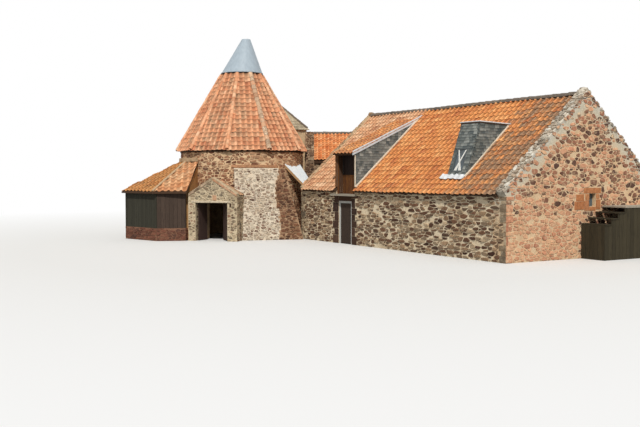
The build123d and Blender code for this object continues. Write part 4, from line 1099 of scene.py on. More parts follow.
ROOF_FROM, ROOF_TO = 0.25, 12.7
SLOPE = (DEPTH / 2 + EAVE) / math.cos(PITCH)
LOFT_EAVE_Z, LOFT_PITCH = 3.78, math.radians(24)
loft_join = (LOFT_EAVE_Z - EAVE_Z) / (math.tan(PITCH) - math.tan(LOFT_PITCH))
slate_join = (4.66 - EAVE_Z) / math.tan(PITCH)


def mill_slope(way, x, out):
    """A slope of the mill's roof, front (way 1) or back (-1), from x on, v up from a line that far out."""
    origin = at(x, -out if way > 0 else DEPTH + out, roof_z(-out))
    return Flat(origin, (way, 0, 0), (0, way * math.cos(PITCH), math.sin(PITCH)))


def up_slope(back_from_eave):
    return back_from_eave / math.cos(PITCH)


def roof_age(u, v, chance):
    """Older tiles towards the east verge and at the eave."""
    edge = 0.3 * smooth_step(u, 10.0, 12.5)
    speckled = 0.42 * smooth_step(u, 9.6, 10.9)
    foot = 0.2 * smooth_step(-v, -0.6, 0.0)
    return edge + speckled + foot + (0.4 + 0.45 * (u > 10.2)) * (chance - 0.35)


def under_roof(surface, u0, u1, v0, v1):
    slab(pile, surface, rectangle(u0, v0, u1, v1), -0.126, -0.056, 0.4, 0.3, 1, edge=0.004)


front_roof = mill_slope(1, 0, EAVE)
TILES_FROM, UNDER_TO, APRON_BACK = -0.04, SLOPE - 0.06, 0.67
for number, (u0, u1, v0, v1) in enumerate((
    (ROOF_FROM, LOFT[0] - CHEEK, TILES_FROM, SLOPE),
    (LOFT[0] - CHEEK, LOFT[1] + CHEEK, up_slope(loft_join), SLOPE),
    (LOFT[1] + CHEEK, SLATED[0], TILES_FROM, SLOPE), (*SLATED, TILES_FROM, up_slope(APRON_BACK)),
    (*SLATED, up_slope(slate_join), SLOPE), (SLATED[1], ROOF_TO, TILES_FROM, SLOPE),
)):
    start = TILES_FROM + TILE_GAUGE * round((v0 - TILES_FROM) / TILE_GAUGE)
    pantiles(pile, front_roof, u0, u1, start, v1, age=roof_age, seed=70 + number, slot=2 if number < 2 else 0)
for u0, u1, v0, v1 in (
    (ROOF_FROM, LOFT[0], 0, UNDER_TO), (*LOFT, up_slope(loft_join - 0.3), UNDER_TO),
    (LOFT[1], SLATED[0] + 0.08, 0, UNDER_TO), (SLATED[0] + 0.08, SLATED[1] - 0.08, 0, up_slope(0.75)),
    (SLATED[0] + 0.08, SLATED[1] - 0.08, up_slope(slate_join - 0.12), UNDER_TO),
    (SLATED[1] - 0.08, ROOF_TO, 0, UNDER_TO),
):
    under_roof(front_roof, u0, u1, v0, v1)
pile.make("mill_front_pantiles", [TILES, BATTEN, TILES_FADED], "mill_roof_front")

back_roof = mill_slope(-1, LENGTH, EAVE)
pantiles(
    pile, back_roof, LENGTH - ROOF_TO, LENGTH - ROOF_FROM, 0.05, SLOPE,
    age=lambda u, v, c: 0.2 + 0.5 * c + 0.5 * smooth_step(-u, -1.8, -0.4), seed=83,
)
under_roof(back_roof, LENGTH - ROOF_TO, LENGTH - ROOF_FROM, 0, UNDER_TO)
pile.make("mill_back_pantiles", [TILES, BATTEN], "mill_roof_back")


def ridge_point(x):
    """On the ridge's line, which dips a little over the door."""
    return at(x, DEPTH / 2, APEX - 0.115 - 0.03 * math.exp(-(((x - 4.2) / 2.2) ** 2)))


cuts = [ROOF_FROM + (ROOF_TO - ROOF_FROM) * i / 8 for i in range(9)]
for number, (x0, x1) in enumerate(zip(cuts, cuts[1:])):
    half_rounds(pile, ridge_point(x0), ridge_point(x1), UP, 0.14, 0.4, age=(0.3, 1.0), seed=21 + number)
pile.make("mill_ridge_tiles", [RIDGE], "mill_ridge")

VERGE_OUT, SKEW, LUMPS = 0.09, 0.4, 22
verge_long = (DEPTH / 2 + VERGE_OUT) / math.cos(PITCH)


def boulder(centre, radii, slot=0, tint=0.5, rings=5, sides=9):
    """A rough stone, rounded all over."""
    (x, y, z), (rx, ry, rz) = centre, radii
    points = [(x, y, z - rz)]
    for k in range(1, rings):
        level = -math.pi / 2 + math.pi * k / rings
        for i in range(sides):
            a = 2 * math.pi * i / sides
            wide, rise = draw.uniform(0.88, 1.06) * math.cos(level) ** 0.6, rz * math.sin(level)
            points.append((x + rx * wide * math.cos(a), y + ry * wide * math.sin(a), z + rise))
    points.append((x, y, z + rz))
    last, faces = len(points) - 1, []
    for i in range(sides):
        k = (i + 1) % sides
        faces += [(0, 1 + k, 1 + i), (last, last - sides + i, last - sides + k)]
        for low in range(1, 1 + (rings - 2) * sides, sides):
            faces.append((low + i, low + k, low + sides + k, low + sides + i))
    pile.add(points, faces, tint, 0.8, slot)


# East skews: rough coping stones bedded in mortar up both slopes, and cap stones at the apex
for aside, size, tint in ((0.0, 0.17, 0.3), (-0.15, 0.12, 0.83), (0.17, 0.11, 0.5)):
    centre = at(LENGTH - 0.19, DEPTH / 2 + aside, APEX + 0.03 - 0.5 * abs(aside))
    boulder(centre, (0.18, size, 0.13), tint=tint)
for way in (1, -1):
    surface = mill_slope(way, LENGTH - SKEW if way > 0 else LENGTH, VERGE_OUT)
    slab(pile, surface, rectangle(0.01, 0, SKEW - 0.005, verge_long), -0.125, 0.066 * 0.7, slot=1, edge=0.02)
    rubble(
        pile, surface, [rectangle(-0.015, -0.02, SKEW + 0.015, verge_long + 0.02)], wide=0.15, high=0.13,
        gap=0.009, proud=(0.066, 0.092), seed=5 + way, askew=0.16,
    )
pile.make("mill_skew_stones", [COPING, SKEW_MORTAR], "mill_skews")

# West verge: lumps of mortar with some stones in it
for way in (1, -1):
    surface = mill_slope(way, 0 if way > 0 else ROOF_FROM, VERGE_OUT)
    slab(pile, surface, rectangle(0.0, 0, ROOF_FROM, verge_long), -0.125, 0.0, edge=0.02)
    for i in range(LUMPS):
        v0, v1 = verge_long * i / LUMPS, verge_long * (i + 1) / LUMPS
        u0, u1 = (0.0, 0.17) if way > 0 else (0.08, ROOF_FROM)
        low_right, high_right = (u1 + draw.uniform(-0.05, 0.02) for _ in range(2))
        outline = [(u0, v0), (low_right, v0), (high_right, v1), (u0, v1)]
        slab(pile, surface, outline, -0.02, draw.uniform(0.03, 0.05), edge=0.03)
    rubble(
        pile, surface, [rectangle(0.0, 0.0, 0.19, verge_long)], wide=0.14, high=0.2, gap=0.012, seed=63 + way,
        proud=(0.04, 0.06), askew=0.2, slot=1, skip=lambda c, chance: chance < 0.25,
    )
boulder(at(0.13, DEPTH / 2, APEX - 0.02), (0.12, 0.17, 0.11), slot=1)
pile.make("mill_west_verge", [VERGE, VERGE_STONE])

# ---------------------------------------------------------------- hoist door

loft_x0, loft_x1 = LOFT[0] - CHEEK - 0.02, LOFT[1] + CHEEK + 0.02


def loft_z(back):
    return LOFT_EAVE_Z + (back + EAVE) * math.tan(LOFT_PITCH)


SLATE_SIZE = (0.17, 0.105, 0.008)


def cheek_slates(x0, x1, region, seed):
    """Slates on a dormer's right and left cheeks."""
    mirrored = [(-u, v) for u, v in region][::-1]
    for x, way, here, number in ((x1, 1, region, seed), (x0, -1, mirrored, seed + 1)):
        plates(pile, upright(x, 0, (0, way, 0)), here, *SLATE_SIZE, seed=number)


def post(x, back, z0, z1, wide, high, **options):
    bar(pile, at(x, back, z0), at(x, back, z1), (1, 0, 0), (0, -1, 0), wide, high, **options)


surface = Flat(at(0, -EAVE, LOFT_EAVE_Z), (1, 0, 0), (0, math.cos(LOFT_PITCH), math.sin(LOFT_PITCH)))
length = loft_join / math.cos(LOFT_PITCH)
pantiles(
    pile, surface, loft_x0, loft_x1, -0.03, length + 0.05, seed=91, waves=0.5,
    age=lambda u, v, c: 0.25 + 0.4 * c,
)
slab(pile, surface, rectangle(loft_x0, 0, loft_x1, length - 0.1), -0.1, -0.056, 0.4, 0.3, 1)
pile.make("loft_pantiles", [TILES, BATTEN], "loft_roof")

under_join = (LOFT_EAVE_Z - 0.11 - EAVE_Z) / (math.tan(PITCH) - math.tan(LOFT_PITCH)) - EAVE
cheek_region = [(0.0, roof_z(0.0)), (under_join, roof_z(under_join)), (0.0, loft_z(0) - 0.11)]
cheek_slates(LOFT[0] - CHEEK, LOFT[1] + CHEEK, cheek_region, 101)
pile.make("loft_cheek_slates", [SLATE])

x, back = LOFT[1] + CHEEK + 0.006, loft_join - 0.02
start, end = at(x, -0.16, loft_z(-EAVE) - 0.125), at(x, back, loft_z(back) - 0.115)
bar(pile, start, end, (1, 0, 0), UP, 0.06, 0.165, segments=8, rough=0.04)
pile.make("loft_lead", [LEAD])

# Rough bands of mortar on the tiles beside the cheeks, and one down the hoist door's side
for x, out, back_from, back_to, wide, tall in (
    (LOFT[1] + CHEEK, 1, -0.02, loft_join - 0.25, 0.05, 0.06),
    (SLATED[1], 1, 0.45, slate_join - 0.2, 0.04, 0.05), (SLATED[0], -1, 0.45, slate_join - 0.2, 0.03, 0.03),
):
    start, end = (at(x + out * wide / 2, back, roof_z(back) - 0.01) for back in (back_from, back_to))
    outwards = (0, -math.sin(PITCH), math.cos(PITCH))
    bar(pile, start, end, (out, 0, 0), outwards, wide, tall, segments=14, rough=0.12)
post(LOFT[1] + 0.06, -0.006, 2.36, 3.66, 0.075, 0.02, segments=8, rough=0.08)
pile.make("dormer_fillets", [FILLET])

SILL, HALF_WAY = 2.07, 2.86
door, u0, u1 = upright(0, 0.30, (1, 0, 0)), LOFT[0] + 0.002, LOFT[1] - 0.002
boards(pile, door, rectangle(u0, SILL, u1, HALF_WAY), -0.045, 0.0, seed=111, tint=(0.0, 1.0))
# The upper boards are near-black, painted shade for the dark upper half of the hoist door.
boards(pile, door, rectangle(u0, HALF_WAY, u1, loft_z(0.3) - 0.112), -0.045, -0.01, slot=1, seed=112)
pile.make("loft_door_boards", [BROWN_WOOD, PAINTED_SHADE_WOOD], "loft_door")
post(LOFT[0] + 0.03, 0.06, SILL, 3.7, 0.06, 0.05, tint=0.7)
post(LOFT[0] - 0.05, 0.0, 2.36, 3.7, 0.1, 0.02, tint=0.7)
post(LOFT[1] - 0.03, 0.06, SILL, 3.7, 0.06, 0.05, tint=0.3)
bar(pile, at(LOFT[0], 0.03, 3.66), at(LOFT[1], 0.03, 3.66), (0, 1, 0), UP, 0.06, 0.07, tint=0.2, slot=1)
for x, back, way, seed in ((LOFT[0], 0.06, 1, 113), (LOFT[1], 0.30, -1, 114)):
    lining = upright(x, back, (0, way, 0))
    boards(pile, lining, rectangle(0, SILL, 0.24, 3.74), 0.001, 0.014, 0.12, slot=1, seed=seed)
pile.make("loft_posts", [BROWN_WOOD, DARK_WOOD])

# ---------------------------------------------------------------- slated dormer

FOOT_BACK, HEAD_BACK = 0.52, 1.16
foot_z, head_z = roof_z(FOOT_BACK), 4.72
lean = math.hypot(0.64, head_z - foot_z)
dormer_front = Flat(at(0, FOOT_BACK, foot_z), (1, 0, 0), (0, 0.64, head_z - foot_z))
steep = (head_z - foot_z) / lean
PANE = (9.69, 0.11 / steep, 10.29, 0.11 / steep + 0.85 / steep)
behind = slate_join - EAVE
plates(pile, dormer_front, rectangle(SLATED[0], 0, SLATED[1], lean), 0.17, 0.11, 0.008, [PANE], 121)
cheek_slates(*SLATED, [(FOOT_BACK, foot_z), (behind, roof_z(behind)), (HEAD_BACK, head_z)], 122)
pile.make("dormer_slates", [SLATE])

top = Flat(at(0, HEAD_BACK, head_z), (1, 0, 0), (0, behind - HEAD_BACK, -0.06))
outline = rectangle(SLATED[0] - 0.035, -0.05, SLATED[1] + 0.035, 1.42)
slab(pile, top, outline, 0.012, 0.045, age=0.5, edge=0.01)
pile.make("dormer_top", [WHITE_LEAD])
x0, x1, z = SLATED[0] - 0.012, SLATED[1] + 0.012, head_z - 0.035
bar(pile, at(x0, 1.13, z), at(x1, 1.13, z), (0, 1, 0), UP, 0.03, 0.045)
for x in (x0, x1):
    bar(pile, at(x, 1.13, z), at(x, 2.4, head_z - 0.09), (1, 0, 0), UP, 0.025, 0.045)
pile.make("dormer_fascia", [TARRED])

left, sill, right, head = PANE
for region in (
    (left, sill, left + 0.04, head), (right - 0.05, sill, right, head),
    (left + 0.05, sill, right - 0.05, sill + 0.06), (left + 0.05, head - 0.05, right - 0.05, head),
):
    slab(pile, dormer_front, rectangle(*region), -0.02, 0.012, 0.5, 0.2, slot=1)
mid = (left + right) / 2
# Slanting bars to both sides of the middle, as corners of (share of the reach aside, height)
upper, lower = head - 0.06, sill + 0.06
for reach in (0.07, -0.07):
    for outline in (
        ((-0.2, sill + 0.42), (2.4, upper), (3.2, upper), (0.5, sill + 0.38)),
        ((0.2, sill + 0.42), (2.7, lower), (0.7, lower), (-0.2, sill + 0.36)),
    ):
        outline = [(mid + share * reach, v) for share, v in outline]
        slab(pile, dormer_front, outline, -0.015, 0.0, 0.7, 0.2, edge=0.002)
pile.make("dormer_window_bars", [PAINTED, SLATE_PAINT])


def sheet_faces(nu, nv):
    """Faces of an upper and a lower layer of nu by nv points, and of the rim between them."""
    faces, m = [], nu * nv
    for j in range(nv - 1):
        for a in range(j * nu, j * nu + nu - 1):
            faces += [(a, a + 1, a + nu + 1, a + nu), (m + a + nu, m + a + nu + 1, m + a + 1, m + a)]
    rim = list(range(nu)) + [j * nu + nu - 1 for j in range(1, nv)]
    rim += [(nv - 1) * nu + i for i in range(nu - 2, -1, -1)] + [j * nu for j in range(nv - 2, 0, -1)]
    return faces + [(a, m + a, m + b, b) for a, b in pairs(rim)]


# Lead dressed down over the tiles at the dormer's foot
us = np.linspace(SLATED[0] - 0.28, SLATED[1] + 0.03, 60)
vs = np.linspace(up_slope(APRON_BACK - 0.16), up_slope(APRON_BACK) + 0.03, 4)
points = [
    (u, v + 0.02 * math.sin(9 * u), 0.034 + 0.012 * math.sin(2 * math.pi * u / 0.27) + w)
    for w in (0.0, -0.008) for v in vs for u in us
]
pile.add(front_roof(points), sheet_faces(len(us), len(vs)))
pile.make("dormer_apron", [WHITE_LEAD], "slate_lead")

# ---------------------------------------------------------------- kiln

def kiln(points):
    """The kiln's outer face, u along it from the west, v up and w out."""
    u, v, w = np.asarray(points, float).T
    a, r = -math.pi + u / KILN_R, KILN_R + w
    return np.stack([KILN_X + r * np.cos(a), KILN_Y + r * np.sin(a), v], 1)


def kiln_angle(u):
    return -180 + math.degrees(u / KILN_R)


def kiln_skip(centre, chance):
    """No stones where the porch and the string course are."""
    angle, z = kiln_angle(centre[0]), centre[1]
    return (z < 1.93 and -67 < angle < -28) or (-36 < angle < 6 and 3.17 < z < 3.32) or chance < 0.06


def kiln_tint(centre, chance):
    """Fewer dark stones on the side that turns towards the mill, a painted lightening of the side that turns
    away from the light.
    """
    return 0.667 if kiln_angle(centre[0]) > -24 and (chance < 0.09 or 0.4 < chance < 0.6) else chance


rubble(
    pile, kiln, [rectangle(0, 0, 2 * math.pi * KILN_R, 4.02)], tint=kiln_tint, skip=kiln_skip, wide=0.19,
    high=0.1, gap=0.012, seed=131, askew=0.16,
)
pile.make("kiln_stones", [STONE_KILN])

SIDES, HIP, STEP = 10, -3, 36
CONE_R, CONE_Z, TOP_R, TOP_Z = 3.03, 4.04, 0.985, 7.545
HALF_STEP = math.radians(STEP / 2)


def gore(k):
    """The plane of one side of the cone, from the middle of its eave, and the side's length."""
    a, reach = HIP + STEP * k + STEP // 2, math.cos(HALF_STEP)
    foot, head = around(a, CONE_R * reach, CONE_Z), around(a, TOP_R * reach, TOP_Z)
    t = math.radians(a)
    return Flat(foot, (-math.sin(t), math.cos(t), 0), np.subtract(head, foot)), math.dist(foot, head)


def hoop(profile, n):
    """A closed ring about the kiln's axis, whose section has four corners of (radius, height)."""
    turn = HIP if n == SIDES else 0
    return [around(turn + 360 * i / n, r, z) for r, z in profile for i in range(n)], tube(n, 4, True)


def on_gore(u, v, length, half=CONE_R * math.sin(HALF_STEP)):
    return abs(u) < half + (TOP_R * math.sin(HALF_STEP) - half) * v / length + 0.16


for k in range(SIDES):
    surface, length = gore(k)
    part = Pile()
    pantiles(
        part, surface, -1.0, 1.0, -0.09, length + 0.03, keep=lambda u, v: on_gore(u, v, length), seed=140 + k,
        waves=0.6, wide=0.25, gauge=0.225, age=lambda u, v, c: 0.12 + 0.5 * c * c + 0.1 * math.sin(3 * u + k),
    )
    near_hip, far_hip = around(HIP + STEP * k, 1, 0), around(HIP + STEP * (k + 1), 1, 0)
    part.trim([((KILN_X, KILN_Y), near_hip), (far_hip, (KILN_X, KILN_Y))])
    pile.absorb(part)
outer, inner, z = CONE_R - 0.02, CONE_R - 0.2, CONE_Z - 0.045
pile.add(*hoop(((outer, z), (TOP_R - 0.06, TOP_Z), (TOP_R - 0.24, TOP_Z), (inner, z)), SIDES), 0.4, 0.3, 1)
# A dark ring round the wall head just under the eave: a painted shadow of the eave on the wall.
outer, inner = KILN_R + 0.05, KILN_R - 0.02
pile.add(*hoop(((outer, 3.88), (outer, 4.02), (inner, 4.02), (inner, 3.88)), 60), 0.1, 0.0, 1)
pile.make("kiln_pantiles", [TILES_KILN, BATTEN], "kiln_roof")

for k in range(SIDES):
    hip = HIP + STEP * k
    foot, head = around(hip, CONE_R - 0.01, CONE_Z - 0.02), around(hip, TOP_R - 0.03, TOP_Z - 0.03)
    a, first = math.radians(hip), k == 0
    half_rounds(
        pile, foot, head, (math.cos(a), math.sin(a), 0.4), 0.11 if first else 0.08, 0.225, slot=int(first),
        age=(0.0, 1.0 if first else 0.45), seed=160 + k, arc=180,
    )
pile.make("kiln_hip_tiles", [HIPS, HIP_GREY])

# Cowl: lapped joints up its sides, but none over the vent, and a rolled rim at its foot
FOOT_Z, FOOT_R, CROWN_R, CROWN_Z = 7.575, 0.97, 0.20, 9.22
lean_by = np.subtract(around(107, 0.27, 0), around(107, 0.0, 0))
for angle in (a for a in range(15, 375, 30) if not 85 < a < 130):
    radial = np.array((math.cos(math.radians(angle)), math.sin(math.radians(angle)), 0))
    low = np.array((KILN_X, KILN_Y, FOOT_Z)) + radial * (FOOT_R - 0.001)
    high = np.array((KILN_X, KILN_Y, CROWN_Z - 0.005)) + lean_by + radial * (CROWN_R - 0.001)
    bar(pile, low, high, np.cross(unit(high - low), radial), radial, 0.03, 0.006)
pile.add(*hoop(((0.972, 7.575), (0.983, 7.58), (0.983, 7.61), (0.962, 7.62)), 40))
pile.make("cowl_seams", [COWL], body="cowl")

# ---------------------------------------------------------------- buttress, porch walls and link walls

OUT = Vector((math.cos(PORCH), math.sin(PORCH), 0))
ACROSS = Vector((-OUT.y, OUT.x, 0))


def face_stones(names, choose, seed, **options):
    """Rubble on the chosen plane faces of some CAD nodes."""
    for name in names:
        for plane, loops, normal in wall_faces(name):
            if choose(name, normal):
                seed += 1
                rubble(pile, plane, loops, seed=seed, **options)


# The buttress's outer face is pale on the left and red on the right, with a ragged line between
RAGGED = 30
buttress_out = Vector((math.cos(math.radians(-14.25)), math.sin(math.radians(-14.25)), 0))
for plane, loops, normal in wall_faces("kiln_buttress"):
    facing = normal.dot(buttress_out)
    if facing > 0.8:
        u0, bottom, u1, top = extent([p for loop in loops for p in loop])

        def right(centre):
            return smooth_step((centre[0] - u0) / (u1 - u0), 0.58, 0.8)

        def redder(centre, chance):
            return min(1.0, chance * 0.75 + 0.45 * right(centre)) if chance > 0.2 else chance * 2 + 0.45

        def smeared(centre, chance):
            return chance * (1 - 0.7 * right(centre)) + 0.2

        pale_side, red_side = [], []
        for step in range(RAGGED):
            v0, v1 = bottom + (top - bottom) * step / RAGGED, bottom + (top - bottom) * (step + 1) / RAGGED
            here = u0 + 0.63 * (u1 - u0) + 0.09 * math.sin(2.4 * v0) + draw.uniform(-0.07, 0.05)
            pale_side.append((here, v0, u1 + 1, v1))
            red_side.append((u0 - 1, v0, here, v1))
            band = clip(clip(clip(loops[0], 0, 1, v1), 0, -1, -v0), -1, 0, -here)
            slab(pile, plane, band, -0.012, 0.003, slot=2, edge=0.0)
        rubble(
            pile, plane, loops, wide=0.17, high=0.09, gap=0.011, seed=211, askew=0.16, tint=redder,
            age=smeared, skip=lambda c, chance: chance < 0.06, holes=pale_side,
        )
        rubble(
            pile, plane, loops, wide=0.18, high=0.09, gap=0.006, seed=215, askew=0.16, slot=1, holes=red_side,
        )
    elif facing > -0.8:
        rubble(
            pile, plane, loops, wide=0.17, high=0.095, gap=0.011, seed=223, askew=0.16,
            tint=lambda c, chance: 0.5 + 0.5 * chance,
        )
pile.make("buttress_stones", [STONE_BUTTRESS, STONE_BUTTRESS_RED, MORTAR_REDDER])

DOOR_LEFT, DOOR_RIGHT, DOOR_HEAD = -0.795, 0.685, 1.65
PORCH_HALF, PORCH_EAVE, PORCH_APEX = 1.125, 1.95, 2.65
porch_face = Flat(porch_at(0, 3.64, 0), ACROSS, UP)
porch_outline = [
    (-PORCH_HALF, 0), (DOOR_LEFT, 0), (DOOR_LEFT, DOOR_HEAD), (DOOR_RIGHT, DOOR_HEAD), (DOOR_RIGHT, 0),
    (PORCH_HALF, 0), (PORCH_HALF, 2.02), (0, 2.72), (-PORCH_HALF, 2.02),
]
LINTEL, ORANGE, NICHE = (-0.98, DOOR_HEAD, 0.86, 1.75), (0.0, 1.75, 0.2, 2.0), (0.78, 1.46, 0.87, 1.64)
rubble(
    pile, porch_face, [porch_outline], holes=[LINTEL, ORANGE, NICHE], wide=0.16, high=0.09, seed=231,
    proud=(0.004, 0.018), askew=0.14, tint=lambda c, chance: 0.45 * chance if c[1] > 1.7 else chance,
)


def porch_side(inner):
    """Chooses the side walls' faces towards the passage, whose stones lie flush, or the outer ones."""

    def choose(name, normal):
        across = normal.dot(ACROSS)
        return abs(across) > 0.9 and inner == ((across > 0) == (name == "porch_left_wall"))

    return choose


for inner, proud, askew in ((False, (0.004, 0.016), 0.1), (True, (0.0005, 0.002), 0.01)):
    walls = ("porch_left_wall", "porch_right_wall")
    face_stones(walls, porch_side(inner), 235, wide=0.18, high=0.1, proud=proud, askew=askew)
blocks(pile, porch_face, [LINTEL], 0.03, tint=(0.9, 1.0), age=(0.9, 1.0), slot=2)
blocks(pile, porch_face, [ORANGE], 0.02, slot=1)
# A dark board nearly flush in the niche, painted shade for its depth.
slab(pile, porch_face, rectangle(*NICHE), -0.02, 0.004, slot=3)
FALL, COPE_TOP, COPE_FOOT, JOINT = 0.70 / PORCH_HALF, 2.73, 2.62, 0.004
for side in (1, -1):
    for i in range(4):
        a, b = i * PORCH_HALF / 4, (i + 1) * PORCH_HALF / 4
        outline = [(a + JOINT, COPE_TOP - FALL * a), (a + JOINT, COPE_FOOT - FALL * a)]
        outline += [(b - JOINT, COPE_FOOT - FALL * b), (b - JOINT, COPE_TOP - FALL * b)]
        outline = [(side * u, v) for u, v in outline][::side]
        stone(pile, porch_face, outline, 0.03, draw.random(), draw.uniform(0.2, 0.6), 1 if side > 0 else 0)
    start, end = porch_at(side * 0.01, 3.5, 2.725), porch_at(side * PORCH_HALF, 3.5, 2.03)
    bar(pile, start, end, OUT * side, UP, 0.31, 0.035, draw.random(), 0.8, segments=4, rough=0.08)
pile.make("porch_stones", [STONE_PORCH, PINK_STONE, PALE_STONE, BATTEN])

face_stones(("lean_to_plinth",), lambda name, n: True, 241, wide=0.2, high=0.1, gap=0.009)
pile.make("lean_to_stones", [STONE_RED])
# The link's walls in darker stone and mortar, painted shade.
face_stones(("link_walls", "link_gable"), lambda name, n: abs(n.z) < 0.2, 251, wide=0.19, high=0.11)
pile.make("link_stones", [STONE_LINK_PAINTED_SHADE])

# ---------------------------------------------------------------- porch, link and rear roofs

ROOF_OUT, ROOF_LONG = 3.34, 0.95
for side in (1, -1):
    origin = porch_at(side * PORCH_HALF, ROOF_OUT, PORCH_EAVE)
    start = 0.0 if side > 0 else -ROOF_LONG
    surface = Flat(origin, OUT * -side, np.subtract(porch_at(0, ROOF_OUT, PORCH_APEX), origin))
    pantiles(
        pile, surface, start, start + ROOF_LONG, 0.0, math.hypot(PORCH_HALF, PORCH_APEX - PORCH_EAVE),
        seed=260 + side, waves=0.3, base=0.004, age=lambda u, v, c: 0.6 + 0.5 * c,
    )
pile.make("porch_pantiles", [TILES_KILN])

LINK_TURN, LINK_PITCH = math.radians(59), math.radians(40)
LINK_LONG, LINK_DEEP, LINK_EAVE = 3.6, 3.0, 3.58


def link_at(along, back, z):
    x = -1.786 + along * math.cos(LINK_TURN) - back * math.sin(LINK_TURN)
    return at(x, 1.72 + along * math.sin(LINK_TURN) + back * math.cos(LINK_TURN), z)


def link_slope(along, way):
    """A slope of the link's roof, u towards its far end in front (way 1) and back again behind (-1)."""
    inward = np.subtract(link_at(0, 1, 0), link_at(0, 0, 0)) * way
    origin = link_at(along, -0.1 if way > 0 else LINK_DEEP + 0.1, LINK_EAVE)
    towards = np.subtract(link_at(1, 0, 0), link_at(0, 0, 0)) * way
    return Flat(origin, towards, inward * math.cos(LINK_PITCH) + np.array((0, 0, math.sin(LINK_PITCH))))


link_rise = LINK_DEEP / 2 + 0.1
link_up = link_rise / math.cos(LINK_PITCH)
link_z = LINK_EAVE + link_rise * math.tan(LINK_PITCH) - 0.05
for along, way, seed in ((0, 1, 271), (LINK_LONG, -1, 272)):
    pantiles(
        pile, link_slope(along, way), 0.0, LINK_LONG, -0.03, link_up, seed=seed, waves=0.4, base=0.004,
        wide=0.18, gauge=0.17,
    )
start, end = (link_at(along, LINK_DEEP / 2, link_z) for along in (0, LINK_LONG))
half_rounds(pile, start, end, UP, 0.12, 0.43, slot=1)
pile.trim([(at(0, 0, 0), at(0, DEPTH, 0))])
pile.make("link_pantiles", [TILES_LINK, RIDGE])
for along, way in ((-0.42, 1), (0.0, -1)):
    rubble(
        pile, link_slope(along, way), [rectangle(0, 0.12, 0.42, link_up + 0.03)], wide=0.16, high=0.17,
        proud=(0.05, 0.09), seed=275 + (way > 0), askew=0.16,
    )
pile.make("link_skew_stones", [STONE_LINK_PAINTED_SHADE])

apex = np.array(at(-5.1, 1.18, 6.70))
eaves = [np.array(at(x, back, 5.1)) for x, back in rectangle(-6.55, -0.2, -3.65, 2.56)]
for number, (a, b) in enumerate(pairs(eaves)):
    inward = apex - (a + b) / 2
    wide, tall = float(np.linalg.norm(b - a)), float(np.linalg.norm(inward))
    region = [(0, 0), (wide, 0), (wide / 2, tall)]
    plates(pile, Flat(a, b - a, inward), region, 0.26, 0.2, 0.01, seed=280 + number)
for corner in eaves:
    half_rounds(pile, corner + 0.065 * (apex - corner), apex, UP, 0.07, 0.5, slot=1, seed=290)
pile.make("rear_slates", [OLIVE, RIDGE])

# ---------------------------------------------------------------- lean-to

LEAN_EAVE_Z, LEAN_TOP_Z, LEAN_OUT = 2.17, 3.52, 0.17
aside = -PORCH_HALF + 0.04
lean_eave = [
    porch_at(aside, 3.75 + LEAN_OUT, 0), around(-75.8, 4.88 + LEAN_OUT, 0), around(-101.4, 5.43 + LEAN_OUT, 0)
]
lean_top = [
    porch_at(aside, math.sqrt(KILN_R**2 - (PORCH_HALF - 0.04) ** 2), 0), around(-88, KILN_R, 0),
    around(-108, KILN_R, 0)
]
lean_eave, lean_top = ([np.array(p[:2]) for p in line] for line in (lean_eave, lean_top))


class Facet:
    """A ruled facet between a level eave a-b and a level top line d-c; u along the eave, v inwards."""

    def __init__(self, a, b, c, d):
        self.a, self.b, self.c, self.d = a, b, c, d
        self.along, self.wide = unit(b - a), float(np.linalg.norm(b - a))
        inward = np.array((-self.along[1], self.along[0]))
        self.inward = inward if np.dot(inward, d - a) > 0 else -inward
        self.run = float(np.mean([np.dot(d - a, self.inward), np.dot(c - a, self.inward)]))
        self.slope = math.hypot(self.run, LEAN_TOP_Z - LEAN_EAVE_Z)

    def share(self, point):
        """How far from the eave line to the top line a plan point lies."""
        low, high = -0.2, 1.3
        for _ in range(26):
            t = (low + high) / 2
            p, q = self.a + t * (self.d - self.a), self.b + t * (self.c - self.b)
            edge = q - p
            over = edge[0] * (point[1] - p[1]) - edge[1] * (point[0] - p[0])
            low, high = (t, high) if over > 0 else (low, t)
        return (low + high) / 2

    def __call__(self, points):
        out = []
        for u, v, w in np.asarray(points, float):
            x, y = self.a + u * self.along + v * self.run / self.slope * self.inward
            out.append((x, y, LEAN_EAVE_Z + self.share((x, y)) * (LEAN_TOP_Z - LEAN_EAVE_Z) + w * 1.1))
        return np.array(out)


GRID = 6
for number, slot, worn in ((0, 2, 0.12), (1, 0, 0.3)):
    ring = [lean_eave[number + 1], lean_eave[number], lean_top[number], lean_top[number + 1]]
    facet, part = Facet(*ring), Pile()
    pantiles(
        part, facet, -1.4, facet.wide + 1.4, 0.01, facet.slope + 0.5, seed=300 + number, waves=0.5, slot=slot,
        keep=lambda u, v: -1.35 < u < facet.wide + 1.35, age=lambda u, v, c: worn + 0.4 * c,
    )
    part.trim([(ring[1], ring[2]), (ring[3], ring[0])])
    part.keep(lambda p: math.hypot(p[0] - KILN_X, p[1] - KILN_Y) > KILN_R - 0.12)
    pile.absorb(part)
    a, b, c, d = (np.array((*p, LEAN_EAVE_Z if i < 2 else LEAN_TOP_Z)) for i, p in enumerate(ring))
    shares, grid = [i / GRID for i in range(GRID + 1)], []
    for w in (-0.056, -0.12):
        for s, t in ((s, t) for t in shares for s in shares):
            grid.append((a * (1 - s) + b * s) * (1 - t) + (d * (1 - s) + c * s) * t + np.array((0, 0, w)))
    pile.add(grid, sheet_faces(GRID + 1, GRID + 1), 0.4, 0.3, 1)
pile.make("lean_to_pantiles", [TILES_LEAN, BATTEN, TILES_LEAN_PALE], "lean_to_roof")

